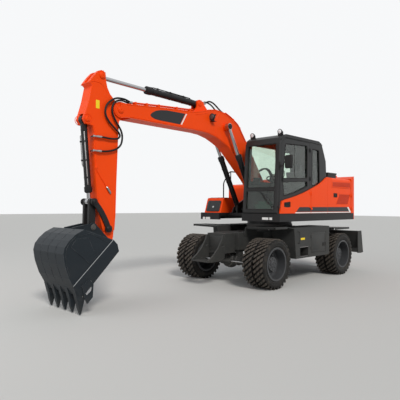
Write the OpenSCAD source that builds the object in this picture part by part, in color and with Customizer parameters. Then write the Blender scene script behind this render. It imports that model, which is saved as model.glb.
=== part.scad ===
// Wheeled excavator with twin tyres, a rear blade and a two-piece digging arm.
// X points to the front, Y to the cab side, Z up from the ground. Lengths are in millimetres.

/* [Wheels] */
// Radius of a tyre out to its tread
tyre_r = 520; // [480:5:560]
// Width of one tyre
tyre_w = 250; // [220:5:262]
// Space between the two tyres of a pair
twin_gap = 30; // [20:5:50]
// Distance from the middle of the machine to a wheel's outer face
track_half = 1250; // [1240:5:1280]
// Radius where the tyre sits on its rim
bead_r = 335; // [300:5:350]
// Radius of the wheel hub
hub_r = 140; // [120:5:160]
// Radius of the stub that carries a wheel
spindle_r = 60; // [50:5:70]
// Front axle, ahead of the swing axis
front_axle_x = 1480; // [1440:10:1520]
// Rear axle, behind the swing axis
rear_axle_x = -1445; // [-1480:5:-1420]

/* [Undercarriage] */
// Half width of the main frame between the front wheels
frame_half = 360; // [320:10:400]
// Underside of the main frame
frame_z = 760; // [740:10:800]
// Top of the main frame
frame_top = 1130; // [1100:10:1150]
// Radius of the slewing ring
ring_r = 560; // [500:10:600]
// Distance from the inner face of a front wheel pair to its kingpin
kingpin_in = 100; // [90:5:120]
// Radius of a kingpin
kingpin_r = 28; // [22:1:34]
// Length of a steering arm
steer_arm = 230; // [200:5:260]
// Radius of a tie-down eye
eye_r = 30; // [20:1:40]
// Height of the blade from its lower edge to its top
blade_h = 600; // [500:10:650]

/* [Upper structure] */
// Underside of the side skirts
skirt_z = 1386; // [1386:2:1400]
// Top of the deck
deck_z = 1550; // [1530:5:1570]
// Distance from the middle to the outer face of a skirt
body_half = 1245; // [1220:5:1250]
// Thickness of a side skirt
skirt_t = 40; // [30:2:45]
// Top of the engine bonnet
bonnet_z = 2425; // [2350:5:2450]
// Top of the counterweight
weight_z = 2520; // [2450:10:2560]
// Top of the cab roof
cab_z = 3250; // [3150:10:3300]
// Inner side of the cab
cab_inner_y = 310; // [290:5:340]
// Thickness of the cab's walls and posts
cab_wall = 55; // [45:5:70]
// Thickness of window glass
glass_t = 6; // [5:1:8]
// Thickness of body panels and doors
panel_t = 35; // [25:1:45]

/* [Arm] */
// Middle plane of the arm
arm_y = -150; // [-170:5:-140]
// Half width of the boom
boom_half = 160; // [150:5:165]
// Half width of the stick
stick_half = 130; // [120:5:132]
// Distance from the arm's middle plane to a boom cylinder
boom_cyl_y = 264; // [260:1:270]
// Radius of the large pins
pin_r = 45; // [38:1:50]
// Radius of a cylinder rod
rod_r = 38; // [30:1:42]
// Width of the bucket
bucket_w = 1000; // [850:10:1100]

/* [Hidden] */

$fn = 64;
// Clearance round a pin, the gap of parts that just miss each other, and the gap of parts that move past
fit = 0.08;
seam = 0.3;
gap = 6;
// The middle of the whole machine's box, seen from the swing axis and the wheels' middle plane
middle_x = 1563;
middle_y = 140;
orange = [0.92, 0.28, 0.04];
grey = [0.24, 0.24, 0.23];
black = [0.07, 0.07, 0.08];
steel = [0.62, 0.63, 0.65];
bucket_blue = [0.16, 0.18, 0.21];
glass_tint = [0.55, 0.7, 0.62, 0.4];

// Pins of the arm and blade in the machine's upright plane, each as [x, z]
boom_foot = [150, 1900];
boom_tip = [4500, 3390];
boom_eye = [1710, 3460];
boom_base = [700, 1630];
stick_base = [2450, 3870];
stick_eye = [4860, 3925];
bucket_base = [5140, 3140];
side_pivot = [4730, 1307];
rod_pin = [5015, 1765];
link_pin = [5020, 1340];
bucket_pin = [4720, 1030];
blade_pivot = [-1800, 620];
blade_base = [-1880, 1030];
blade_eye = [-2210, 680];

inner_face = track_half - 2 * tyre_w - twin_gap;
kingpin_y = inner_face - kingpin_in;
frame_wide = 620;
ring_z = frame_top + 70;
ring_top = ring_z + 90;
cab_y = body_half - skirt_t;
small_pin = pin_r - 10;
cab_front = [1450, 1364];
cab_low_z = deck_z;
lean = (cab_front[0] - cab_front[1]) / 1324;

// Front face of the cab at height z
function front_x(z) = cab_front[0] - (z - cab_low_z) * lean;
function unit(v) = v / norm(v);
// A closed outline, drawn anticlockwise, moved inwards by t
function inset(p, t) = [for (i = [0 : len(p) - 1])
    let (a = p[(i + len(p) - 1) % len(p)], b = p[i], c = p[(i + 1) % len(p)],
        m = unit([a.y - b.y, b.x - a.x]), n = unit([b.y - c.y, c.x - b.x]))
    b + (m + n) * t / (1 + m * n)];

// An open line of points, moved by t to its left
function raised(p, t) = [for (i = [0 : len(p) - 1])
    let (a = unit(p[max(i, 1)] - p[max(i, 1) - 1]), b = unit(p[min(i, len(p) - 2) + 1] - p[min(i, len(p) - 2)]),
        m = [-a.y, a.x], n = [-b.y, b.x])
    p[i] + (m + n) * t / (1 + m * n)];
// Points from p to q on a bow of height h, moved sideways by off
function bowed(p, q, h, off) = [for (t = [0 : 0.125 : 1])
    let (d = unit(q - p)) p + (q - p) * t + [-d.y, d.x] * (4 * h * t * (1 - t) + off)];
function reversed(p) = [for (i = [len(p) - 1 : -1 : 0]) p[i]];

// A closed outline with its corners rounded by r, each by a short row of points
function softened(p, r) = [for (i = [0 : len(p) - 1])
    let (b = p[i], u = unit(p[(i + len(p) - 1) % len(p)] - b), v = unit(p[(i + 1) % len(p)] - b),
        half = acos(u * v) / 2, m = unit(u + v), away = atan2(-m.y, -m.x),
        s = u.y * v.x > u.x * v.y ? 1 : -1)
    for (k = [-1 : 0.5 : 1]) b + m * r / sin(half) + r * [cos(away + s * k * (90 - half)), sin(away + s * k * (90 - half))]];

module machine() translate([-middle_x, -middle_y, 0]) children();

// A flat shape drawn in X and Z, made solid from y0 to y1
module slab(y0, y1) translate([0, y1, 0]) rotate([90, 0, 0]) linear_extrude(y1 - y0) children();

// The same shape on the left and the right of the plane y = mid
module pair(mid, y0, y1) {
    slab(mid + y0, mid + y1) children();
    slab(mid - y1, mid - y0) children();
}

// A shape drawn in Y and Z, made solid from x0 to x1
module bay(x0, x1) translate([x0, 0, 0]) rotate([90, 0, 90]) linear_extrude(x1 - x0) children();

// A round bar across the machine through the point p
module cross_bar(p, y0, y1, r) translate([p.x, y1, p.y]) rotate([90, 0, 0]) cylinder(r = r, h = y1 - y0);

// A link outline between two round ends
module link_outline(p, rp, q, rq) {
    a = atan2(q.y - p.y, q.x - p.x);
    b = acos((rp - rq) / norm(q - p));
    translate(p) circle(rp);
    translate(q) circle(rq);
    polygon([for (e = [[p, rp, 1], [q, rq, 1], [q, rq, -1], [p, rp, -1]])
        e[0] + e[1] * [cos(a + e[2] * b), sin(a + e[2] * b)]]);
}

// Places its children with their Z axis running from p towards q
module aimed(p, q) translate([p.x, 0, p.y]) rotate([0, 90 - atan2(q.y - p.y, q.x - p.x), 0]) children();

// Cylinder barrel from its base pin: eye, tube, gland, and the bore that starts at bore_from
module barrel(p, q, y, length, r, eye, half_w, pin, bar, bore_from) difference() {
    neck = sqrt(r * r - half_w * half_w) - 1;
    from = eye + 10;
    translate([0, y, 0]) aimed(p, q) {
        slab(-half_w, half_w) {
            circle(eye);
            translate([-neck, 0]) square([2 * neck, from + 4]);
        }
        translate([0, 0, from]) cylinder(r = r, h = length - from);
        translate([0, 0, length * 0.93]) cylinder(r = r + 8, h = length * 0.07);
    }
    translate([0, y, 0]) aimed(p, q) translate([0, 0, bore_from]) cylinder(r = bar + fit, h = length);
    cross_bar(p, y - half_w - 1, y + half_w + 1, pin + fit);
}

// Cylinder rod from its inner end to the eye at q, with the ends of its pin proud by a little
module rod(p, q, y, inside, bar, eye, half_w, pin) {
    translate([0, y, 0]) aimed(p, q)
        translate([0, 0, inside]) cylinder(r = bar, h = norm(q - p) - inside - eye * 0.5);
    cross_bar(q, y - half_w, y + half_w, eye);
    cross_bar(q, y - half_w - 5, y + half_w + 5, pin);
}

// Half of a hinge with its axis along Z; its leaf reaches along X on the face at y = -face
hinge_pin = 6;
knuckle_r = 12;
hinge_h = 40;
module hinge_half(reach, face, fixed) {
    translate([0, 0, fixed ? 0 : hinge_h + seam]) difference() {
        union() {
            cylinder(r = knuckle_r, h = hinge_h);
            translate([min(reach, 0), -face - 1, 0]) cube([abs(reach), face - 3, hinge_h]);
        }
        if (!fixed) translate([0, 0, -1]) cylinder(r = hinge_pin + fit, h = hinge_h + 2);
    }
    if (fixed) cylinder(r = hinge_pin, h = 2 * hinge_h + seam);
}

// Tyre section: the carcass round its air space, in radius and width
module tyre_section() {
    w = tyre_w / 2;
    d = tyre_r - bead_r;
    // Share of the section's height, share of its half width
    outer = [[0, 0.78], [0.06, 0.78], [0.2, 0.95], [0.45, 1], [0.75, 0.97], [0.92, 0.9], [1, 0.76]];
    difference() {
        polygon(concat([for (p = outer) [bead_r + d * p[0], w * p[1]]],
            [for (i = [len(outer) - 1 : -1 : 0]) [bead_r + d * outer[i][0], -w * outer[i][1]]]));
        translate([bead_r - 1, -w * 0.68]) square([d * 0.8, w * 1.36]);
    }
}

module tyres(x, side) color(black) machine()
    for (n = [0, 1])
        translate([x, side * (track_half - tyre_w / 2 - n * (tyre_w + twin_gap)), tyre_r])
            rotate([90, 0, 0]) rotate_extrude() tyre_section();

// Twin rim, dished disc and hub, in radius and distance from the middle of the machine
module wheel_section() {
    face = track_half - 12;
    back = inner_face + 12;
    rim_t = 26;
    disc = inner_face + 290;
    translate([bead_r - rim_t, back]) square([rim_t - seam, face - back]);
    for (y = [back, face - 14]) translate([bead_r - rim_t, y]) square([rim_t + 10, 14]);
    polygon([[hub_r - 1, disc - 50], [bead_r - rim_t + 1, disc], [bead_r - rim_t + 1, disc + 30], [hub_r - 1, disc - 10]]);
    translate([spindle_r + fit, back - 25]) square([hub_r - spindle_r - fit, disc + 105 - back]);
    translate([0, disc + 80]) square([hub_r, 40]);
}

module wheel(x, side) color(grey) machine()
    translate([x, 0, tyre_r]) rotate([side > 0 ? -90 : 90, 0, 0]) rotate_extrude() wheel_section();

module tyres_front_left() tyres(front_axle_x, 1);
module tyres_front_right() tyres(front_axle_x, -1);
module tyres_rear_left() tyres(rear_axle_x, 1);
module tyres_rear_right() tyres(rear_axle_x, -1);
module wheel_front_left() wheel(front_axle_x, 1);
module wheel_front_right() wheel(front_axle_x, -1);
module wheel_rear_left() wheel(rear_axle_x, 1);
module wheel_rear_right() wheel(rear_axle_x, -1);

// Main frame: box beam, pedestal, nose box, gussets with a step plate, blade lugs and tie-down eyes
nose_x = 1980;
nose_half = 250;
frame_rear = -1900;
// Tie-down eyes at the front gussets and the rear lugs
tie_eyes = [[2045, 870], [frame_rear - 45, 852]];
// Pockets for the blade's cylinders, and the radius of their pins
pocket = [116, 224];
blade_pin = 27;
module main_frame() color(grey) machine() difference() {
    union() {
        difference() {
            slab(-frame_half, frame_half) polygon([[frame_rear, frame_z], [nose_x - 330, frame_z],
                [nose_x - 330, frame_top], [frame_rear + 120, frame_top], [frame_rear, frame_top - 60]]);
            pair(0, pocket[0], pocket[1]) polygon([[frame_rear - 5, 815], [blade_base.x + 65, blade_base.y - 25],
                [blade_base.x + 65, frame_top + 1], [frame_rear - 5, frame_top + 1]]);
        }
        slab(-frame_half, frame_half) polygon([[-760, frame_z + 1], [-600, frame_z - 110],
            [600, frame_z - 110], [720, frame_z + 1]]);
        translate([0, 0, frame_z + 40]) linear_extrude(frame_top - frame_z - 40)
            polygon([[760, frame_half - 20], [520, frame_wide], [-620, frame_wide], [-860, frame_half - 20],
                [-860, 20 - frame_half], [-620, -frame_wide], [520, -frame_wide], [760, 20 - frame_half]]);
        translate([0, 0, frame_top - 10]) cylinder(r1 = ring_r + 30, r2 = ring_r - 20, h = ring_z - frame_top + 10);
        translate([nose_x - 340, -nose_half, frame_z - 60])
            cube([340, 2 * nose_half, frame_top - frame_z + 50]);
        pair(0, nose_half - 35, nose_half) polygon([[nose_x - 5, 1090], [nose_x - 5, 600], [2090, 560],
            [2250, 545], [2480, 545], [2480, 590], [2330, 680], [2180, 820], [2060, 1000], [2030, 1090]]);
        slab(-nose_half, nose_half) polygon([[2180, 545], [2480, 545], [2480, 570], [2180, 570]]);
        pair(0, frame_half - 48, frame_half - 13) polygon([[frame_rear + 5, 790], [frame_rear + 5, 940],
            [frame_rear - 90, 905], [frame_rear - 90, 800]]);
        // Lugs for the blade's arms
        for (e = [[frame_half - 60, frame_half], [frame_half - 160, frame_half - 115]]) pair(0, e[0], e[1])
            polygon([[frame_rear + 5, frame_z + 5], [blade_pivot.x - 55, blade_pivot.y - 40],
                [blade_pivot.x, blade_pivot.y - 65], [blade_pivot.x + 55, blade_pivot.y - 40],
                [blade_pivot.x + 160, frame_z + 5]]);
        // Pins of the blade's two cylinders, across the pockets that hold their eyes
        pair(0, pocket[0] - 10, pocket[1] + 10) translate(blade_base) circle(blade_pin);
    }
    cross_bar(blade_pivot, -frame_half - 1, frame_half + 1, small_pin + fit);
    for (p = tie_eyes) cross_bar(p, -frame_half, frame_half, eye_r);
}

// Fixed race of the slewing ring
ring_bore = ring_r - 100;
module slew_ring() color(steel) machine() translate([0, 0, ring_z]) difference() {
    cylinder(r = ring_r, h = ring_top - ring_z);
    translate([0, 0, -1]) cylinder(r = ring_bore, h = ring_top - ring_z + 2);
}

// Step and tool box beside the frame, with a step cut into its lower edge
box_out = 1200;
module step_box(side) color(grey) machine() mirror([0, side > 0 ? 0 : 1, 0]) difference() {
    slab(frame_wide, box_out) polygon([[-800, 600], [-760, 560], [690, 560], [775, 1240], [-800, 1240]]);
    slab(box_out - 190, box_out + 1) polygon([[180, 590], [530, 590], [530, 800], [180, 800]]);
    slab(box_out - 12, box_out + 1) polygon([[-640, 640], [60, 640], [60, 1120], [-640, 1120]]);
}
module step_box_left() step_box(1);
module step_box_right() step_box(-1);

// Mudguards: bent sheets from the frame out over the wheels
module mudguards() color(grey) machine() for (s = [0, 1]) mirror([0, s, 0]) {
    bay(1030, 1480) polygon([[frame_half, 1060], [frame_half + 15, 1060], [frame_half + 60, 1243],
        [1200, 1263], [1200, 1275], [frame_half + 48, 1256]]);
    slab(frame_half + 60, 1200) polygon([[1032, 1258], [1032, 1272], [790, 1236], [790, 1222]]);
    bay(-1890, -1110) polygon([[frame_half, 1040], [frame_half + 15, 1040], [frame_half + 60, 1153],
        [1200, 1173], [1200, 1185], [frame_half + 48, 1166]]);
}

// Axle housing: a round differential case, tapered tubes, and pads up to the frame
module axle_housing(x, reach) {
    translate([x, 0, tyre_r]) sphere(r = 185);
    for (s = [-1, 1]) translate([x, 0, tyre_r]) rotate([-90 * s, 0, 0]) cylinder(r1 = 125, r2 = 85, h = reach);
    translate([x - 60, -75, tyre_r]) cube([120, 150, frame_z - tyre_r]);
    for (s = [-1, 1]) translate([x - 70, s * 250 - 50, tyre_r]) cube([140, 100, frame_z - tyre_r]);
}

shaft_flange = 240;
// The fork's back plate: its face behind the kingpin and its thickness
fork_in = 86;
fork_t = 30;
module front_axle() color(grey) machine() difference() {
    union() {
        axle_housing(front_axle_x, kingpin_y - fork_in - fork_t + 5);
        translate([front_axle_x, 0, tyre_r]) rotate([0, -90, 0]) cylinder(r = 70, h = shaft_flange);
        for (s = [-1, 1]) {
            translate([front_axle_x - 60, s * (kingpin_y - fork_in - fork_t / 2) - fork_t / 2, tyre_r - 135])
                cube([120, fork_t, 270]);
            for (z = [-135, 97]) translate([front_axle_x, 0, tyre_r + z]) linear_extrude(38) {
                translate([0, s * kingpin_y]) circle(60);
                translate([-60, s > 0 ? kingpin_y - fork_in - 5 : -kingpin_y]) square([120, fork_in + 5]);
            }
        }
        // Steering cylinder on the front of the case
        cross_bar([front_axle_x + steer_arm, tyre_r], -190, 190, 46);
        translate([front_axle_x, -60, tyre_r - 40]) cube([steer_arm, 120, 80]);
    }
    cross_bar([front_axle_x + steer_arm, tyre_r], -200, 200, 20 + fit);
    for (s = [-1, 1]) translate([front_axle_x, s * kingpin_y, tyre_r - 140]) cylinder(r = kingpin_r + fit, h = 280);
}

module rear_axle() color(grey) machine() {
    axle_housing(rear_axle_x, kingpin_y + 20);
    translate([rear_axle_x, 0, tyre_r]) rotate([0, 90, 0]) cylinder(r = 70, h = shaft_flange);
    for (s = [-1, 1]) translate([rear_axle_x, s * kingpin_y, tyre_r]) rotate([-90 * s, 0, 0]) {
        cylinder(r = 120, h = 70);
        cylinder(r = spindle_r, h = inner_face + 290 - kingpin_y);
    }
}

// Transfer gearbox under the frame and its shafts to both axles
module drive_shafts() color(black) machine() {
    translate([-170, -140, tyre_r - 40]) cube([340, 280, frame_z - 110 - tyre_r + 40]);
    for (e = [[169, front_axle_x - shaft_flange], [rear_axle_x + shaft_flange, -169]])
        translate([e[0], 0, tyre_r]) rotate([0, 90, 0]) {
            cylinder(r = 38, h = e[1] - e[0]);
            cylinder(r = 55, h = 60);
            translate([0, 0, e[1] - e[0] - 60]) cylinder(r = 55, h = 60);
        }
}

// Steering rod through the steering cylinder, with an eye over each steering arm
module tie_rod() color(steel) machine() {
    cross_bar([front_axle_x + steer_arm, tyre_r], 20 - kingpin_y, kingpin_y - 20, 20);
    for (s = [-1, 1]) translate([front_axle_x + steer_arm, s * (kingpin_y - 20), tyre_r - 20]) cylinder(r = 36, h = 40);
}

// Steering knuckle: body between the axle's ears, kingpin, spindle and steering arm
module knuckle(side) color(grey) machine() mirror([0, side > 0 ? 0 : 1, 0]) translate([front_axle_x, 0, tyre_r]) {
    translate([0, kingpin_y, -135]) cylinder(r = kingpin_r, h = 270);
    translate([0, kingpin_y, -91]) cylinder(r = 45, h = 182);
    translate([-65, kingpin_y, -91]) cube([130, 78, 182]);
    translate([0, kingpin_y, 0]) rotate([-90, 0, 0]) cylinder(r = spindle_r, h = inner_face + 290 - kingpin_y);
    translate([0, 0, -20 - seam - 28]) linear_extrude(28) link_outline([0, kingpin_y + 15], 38, [steer_arm, kingpin_y - 20], 34);
}
module knuckle_left() knuckle(1);
module knuckle_right() knuckle(-1);

// Rear blade: curved plate with end plates, a stiffening box and two arms with their pins
module blade() color(grey) machine() difference() {
    bottom = blade_pivot.y - 150;
    top = bottom + blade_h;
    union() {
        slab(-track_half + 25, track_half - 25) polygon([[-2300, top], [-2345, top], [-2375, top - 250],
            [-2430, top - 430], [-2600, bottom + 12], [-2570, bottom], [-2395, top - 470], [-2335, top - 260]]);
        pair(0, track_half - 25, track_half) polygon([[-2295, top], [-2510, top], [-2560, top - 260],
            [-2620, bottom + 10], [-2480, bottom], [-2310, bottom + 10]]);
        slab(-900, 900) polygon([[-2280, top - 200], [-2336, top - 200], [-2400, top - 440], [-2280, top - 440]]);
        pair(0, frame_half - 110, frame_half - 65) polygon([[-2330, top - 210], [-2270, top - 210],
            [blade_pivot.x - 30, blade_pivot.y + 58], [blade_pivot.x - 30, blade_pivot.y - 58], [-2330, top - 480]]);
        pair(0, frame_half - 110, frame_half - 65) translate(blade_pivot) circle(62);
        pair(0, frame_half - 164, frame_half + 4) translate(blade_pivot) circle(small_pin);
        for (e = [[100, 125], [215, 240]]) pair(0, e[0], e[1]) polygon([[-2290, top - 180], [-2330, top - 420],
            [-2200, blade_eye.y - 60], [-2150, blade_eye.y - 10], [-2180, blade_eye.y + 50]]);
    }
}

blade_cyl_y = 170;
module blade_barrels() color(black) machine() for (s = [-1, 1])
    barrel(blade_base, blade_eye, s * blade_cyl_y, 310, 48, 48, 38, blade_pin, 24, 70);
module blade_rods() color(steel) machine() for (s = [-1, 1])
    rod(blade_base, blade_eye, s * blade_cyl_y, 85, 24, 46, 38, blade_pin);

// Revolving deck: hub on the slewing ring, plate, skirts, and the boom's foot plates with their pins
foot_in = boom_half + 8;
module deck() color(black) machine() {
    centre = [cab_inner_y - 25, -640];
    translate([0, 0, ring_top + seam]) cylinder(r = ring_r - 15, h = deck_z - 60 - ring_top);
    translate([0, 0, ring_z + 10]) cylinder(r = ring_bore - fit, h = 100);
    translate([0, 0, deck_z - 70]) linear_extrude(70) polygon([[-2040, -cab_y], [1120, -cab_y],
        [1120, centre[1]], [830, centre[1]], [830, centre[0]], [1400, centre[0]], [1400, cab_y], [-2040, cab_y]]);
    slab(cab_y - 5, body_half) polygon([[-2040, skirt_z], [1350, skirt_z], [1350, deck_z], [-2040, deck_z]]);
    slab(-body_half, 5 - cab_y) polygon([[-2040, skirt_z], [1130, skirt_z], [1130, deck_z], [-2040, deck_z]]);
    translate([0, 0, skirt_z]) linear_extrude(deck_z - skirt_z) {
        polygon([[1350, body_half], [1350, cab_y - 5], [1395, cab_y - 60], [1395, centre[0]],
            [1450, centre[0]], [1450, cab_y - 60], [1395, body_half]]);
        polygon([[1130, -body_half], [1175, -body_half], [1175, centre[1]], [1115, centre[1]], [1115, -cab_y]]);
    }
    pair(arm_y, foot_in, foot_in + 28) {
        polygon([[-144, deck_z - 5], [870, deck_z - 5], [870, 1720], [780, 1800], [330, 2010], [-30, 2010]]);
        translate(boom_foot) circle(150);
    }
    pair(arm_y, boom_cyl_y + 68, boom_cyl_y + 96) {
        polygon([[560, deck_z - 5], [860, deck_z - 5], [790, boom_base.y + 60], [610, boom_base.y + 60]]);
        translate(boom_base) circle(95);
    }
    cross_bar(boom_foot, arm_y - foot_in - 32, arm_y + foot_in + 32, pin_r);
    cross_bar(boom_base, arm_y - boom_cyl_y - 102, arm_y + boom_cyl_y + 102, pin_r);
}

cab_profile = [[-645, cab_low_z], [cab_front[0], cab_low_z], [front_x(3040), 3040], [front_x(3040) - 45, 3160],
    [1215, cab_z - 35], [1100, cab_z], [-290, cab_z], [-400, cab_z - 45], [-465, cab_z - 150], [-615, 2800],
    [-645, 2430]];
door_rear = 140;
post = 75;
// The door's outline in X and Z
door_profile = [[door_rear, 1606], [front_x(1606) - post, 1606], [front_x(3060) - post - 20, 3060],
    [1180, 3130], [1080, 3158], [door_rear, 3158]];
// Outlines of the fixed side windows, and the radius of a window's corners
window_r = 50;
quarter_window = [[-330, 2230], [30, 2180], [30, 3040], [-290, 3040]];
right_windows = [[[170, 2260], [1240, 2260], [1180, 3090], [190, 3090]],
    [[-470, 2260], [60, 2260], [0, 3060], [-450, 3060]]];

// Rear window as corners: share of the thickness, height; and the rear face of the cab at height z
rear_window = [[0, 2460], [1, 2460], [1, 2780], [0, 2780]];
function rear_x(z) = -645 + (z - 2430) * 30 / 370;

// Handrail beside the front post, on two feet
module cab_rail() {
    y = cab_y + 42;
    ends = [[front_x(1700) - 22, 1700], [front_x(2480) - 22, 2480]];
    translate([0, y, 0]) aimed(ends[0] - [0, 30], ends[1] + [0, 30]) cylinder(r = 14, h = norm(ends[1] - ends[0]) + 60);
    for (e = ends) cross_bar(e, cab_y - 5, y, 9);
}
module cab_shell() color(black) machine() {
    cab_box();
    cab_rail();
}
module cab_box() difference() {
    slab(cab_inner_y, cab_y) polygon(softened(cab_profile, 30));
    slab(cab_inner_y + cab_wall, cab_y - cab_wall) polygon(inset(cab_profile, cab_wall));
    slab(cab_y - cab_wall - 1, cab_y + 1) polygon(inset(door_profile, -gap));
    slab(cab_y - cab_wall - 1, cab_y + 1) polygon(softened(quarter_window, window_r));
    for (w = right_windows) slab(cab_inner_y - 1, cab_inner_y + cab_wall + 1) polygon(softened(w, window_r));
    for (z = [[1640, 2050], [2100, 3040]]) translate([1200, cab_inner_y + 70, z[0]])
        cube([300, cab_y - cab_inner_y - 140, z[1] - z[0]]);
    slab(cab_inner_y + 110, cab_y - 110) polygon([for (e = rear_window) [rear_x(e[1]) + e[0] * 60 - 5, e[1]]]);
}

// A pane that follows the leaning front of the cab between two heights
module front_pane(z0, z1) slab(cab_inner_y + 70, cab_y - 70)
    polygon([for (e = [[z0, 30], [z0, 30 - glass_t], [z1, 30 - glass_t], [z1, 30]]) [front_x(e[0]) - e[1], e[0]]]);

module cab_glass() color(glass_tint) machine() {
    front_pane(1640, 2050);
    front_pane(2100, 3040);
    slab(cab_y - 30, cab_y - 30 + glass_t) polygon(softened(quarter_window, window_r));
    for (w = right_windows) slab(cab_inner_y + 25, cab_inner_y + 25 + glass_t) polygon(softened(w, window_r));
    slab(cab_inner_y + 110, cab_y - 110) polygon([for (e = rear_window) [rear_x(e[1]) + 25 + e[0] * glass_t, e[1]]]);
}

seat_x = 250;
seat_mid = (cab_inner_y + cab_y) / 2;
floor_z = cab_low_z + cab_wall;
module seat() color([0.13, 0.13, 0.14]) machine() {
    slab(seat_mid - 180, seat_mid + 180) polygon([[seat_x - 180, floor_z], [seat_x + 220, floor_z],
        [seat_x + 160, floor_z + 330], [seat_x - 150, floor_z + 330]]);
    slab(seat_mid - 250, seat_mid + 250) polygon([[seat_x - 230, floor_z + 330], [seat_x + 250, floor_z + 330],
        [seat_x + 270, floor_z + 440], [seat_x + 230, floor_z + 465], [seat_x - 120, floor_z + 440],
        [seat_x - 215, floor_z + 1010], [seat_x - 320, floor_z + 1010], [seat_x - 260, floor_z + 420]]);
    slab(seat_mid - 130, seat_mid + 130) polygon([[seat_x - 318, floor_z + 1010], [seat_x - 240, floor_z + 1010],
        [seat_x - 265, floor_z + 1210], [seat_x - 325, floor_z + 1200]]);
}

// Side consoles with their levers, and the steering column with its wheel
module controls() color([0.2, 0.2, 0.2]) machine() {
    for (s = [-1, 1]) {
        slab(seat_mid + s * 315 - 55, seat_mid + s * 315 + 55) polygon([[seat_x - 250, floor_z], [seat_x + 330, floor_z],
            [seat_x + 400, floor_z + 480], [seat_x + 380, floor_z + 550], [seat_x - 250, floor_z + 500]]);
        translate([seat_x + 300, seat_mid + s * 315, floor_z + 525]) rotate([0, 8, 0]) {
            cylinder(r1 = 28, r2 = 14, h = 120);
            translate([0, 0, 119]) cylinder(r1 = 18, r2 = 24, h = 130);
        }
    }
    translate([seat_x + 800, seat_mid, floor_z]) {
        translate([-60, -60, 0]) cube([150, 120, 200]);
        translate([30, 0, 150]) rotate([0, -22, 0]) {
            cylinder(r = 38, h = 590);
            translate([0, 0, 585]) {
                rotate_extrude() translate([185, 0]) circle(15);
                for (a = [0, 120, 240]) rotate(a) translate([0, -14, -8]) cube([180, 28, 16]);
                cylinder(r = 55, h = 25);
            }
        }
    }
}

// Door frame with its two windows; the lower one ends on the curve of the skin
skin_top = [[1378, 1560], [1300, 1822], [1170, 1856], [743, 1939], [door_rear - 6, 2110]];
upper_window = softened([[235, 2350], [1232, 2295], [1128, 3050], [235, 3093]], 60);
lower_window = softened([[235, 2160], [745, 2010], [1190, 1925], [1230, 2235], [235, 2285]], 22);
module cab_door() color(black) machine() difference() {
    slab(cab_y - cab_wall, cab_y) polygon(door_profile);
    for (w = [upper_window, lower_window]) slab(cab_y - cab_wall - 1, cab_y + 1) polygon(w);
}
module door_glass() color(glass_tint) machine()
    for (w = [upper_window, lower_window]) slab(cab_y - 30, cab_y - 30 + glass_t) polygon(w);

skin_y = cab_y + panel_t - 1;
door_hinge = [door_rear - 6, skin_y + knuckle_r];
door_hinge_z = [1640, 1960];
module door_skin() color(orange) machine() {
    difference() {
        slab(cab_y + gap, skin_y) polygon([[door_rear, 1560], [1376, 1560], [1315, 1800], [1300, 1822], [1170, 1856],
            [950, 1895], [743, 1939], [450, 2012], [door_rear, 2106]]);
        slab(skin_y - 15, skin_y + 1) polygon([[985, 1700], [1090, 1690], [1225, 1700], [1225, 1790], [985, 1810]]);
    }
    slab(cab_y, cab_y + gap) polygon([[160, 1630], [1270, 1630], [1250, 1790], [743, 1900], [160, 2060]]);
    for (z = door_hinge_z) translate([door_hinge.x, door_hinge.y, z]) hinge_half(60, knuckle_r, false);
}

// Fixed panels: left panel under the cab's rear corner, bulkhead, cowl and the cover of the valve bay
module body_panels() color(orange) machine() {
    slab(cab_y, skin_y) polygon([[-650, 1560], [door_rear - 12, 1560], [door_rear - 12, 2110], [-60, 2170],
        [-260, 2240], [-440, 2325], [-560, 2395], [-645, 2425], [-650, 2425]]);
    slab(gap - cab_y, cab_y - gap) polygon([[-690, deck_z], [-660, deck_z], [-660, bonnet_z], [-850, bonnet_z],
        [-850, bonnet_z - 40], [-690, bonnet_z - 40]]);
    slab(-620, cab_inner_y - 20) polygon([[-660, deck_z], [-150, deck_z], [-150, 2080], [-240, 2160], [-660, 2200]]);
    // Glands of the hoses that go up to the boom
    for (y = [back_pipes[1], back_pipes[2]]) translate([foot_port.x, arm_y + y, foot_port.y - 50]) cylinder(r = foot_hose_r + 2, h = 50);
    for (z = door_hinge_z) translate([door_hinge.x, door_hinge.y, z]) hinge_half(-60, knuckle_r, true);
    for (y = bonnet_hinge_y) translate([bonnet_hinge.x, y, bonnet_hinge.y]) rotate([90, 0, 0])
        hinge_half(60, knuckle_r, true);
}

bay_rear = -1890;
bonnet_skirt = 240;
door_top = bonnet_z - bonnet_skirt - gap;
bonnet_hinge = [-853, bonnet_z + knuckle_r];
bonnet_hinge_y = [-700, 780];
service_hinge = [bay_rear - 8, body_half + 1 + knuckle_r];
service_hinge_z = [1640, 1960];
// Depth of the recesses of louvres and grilles
recess = 12;
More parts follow.
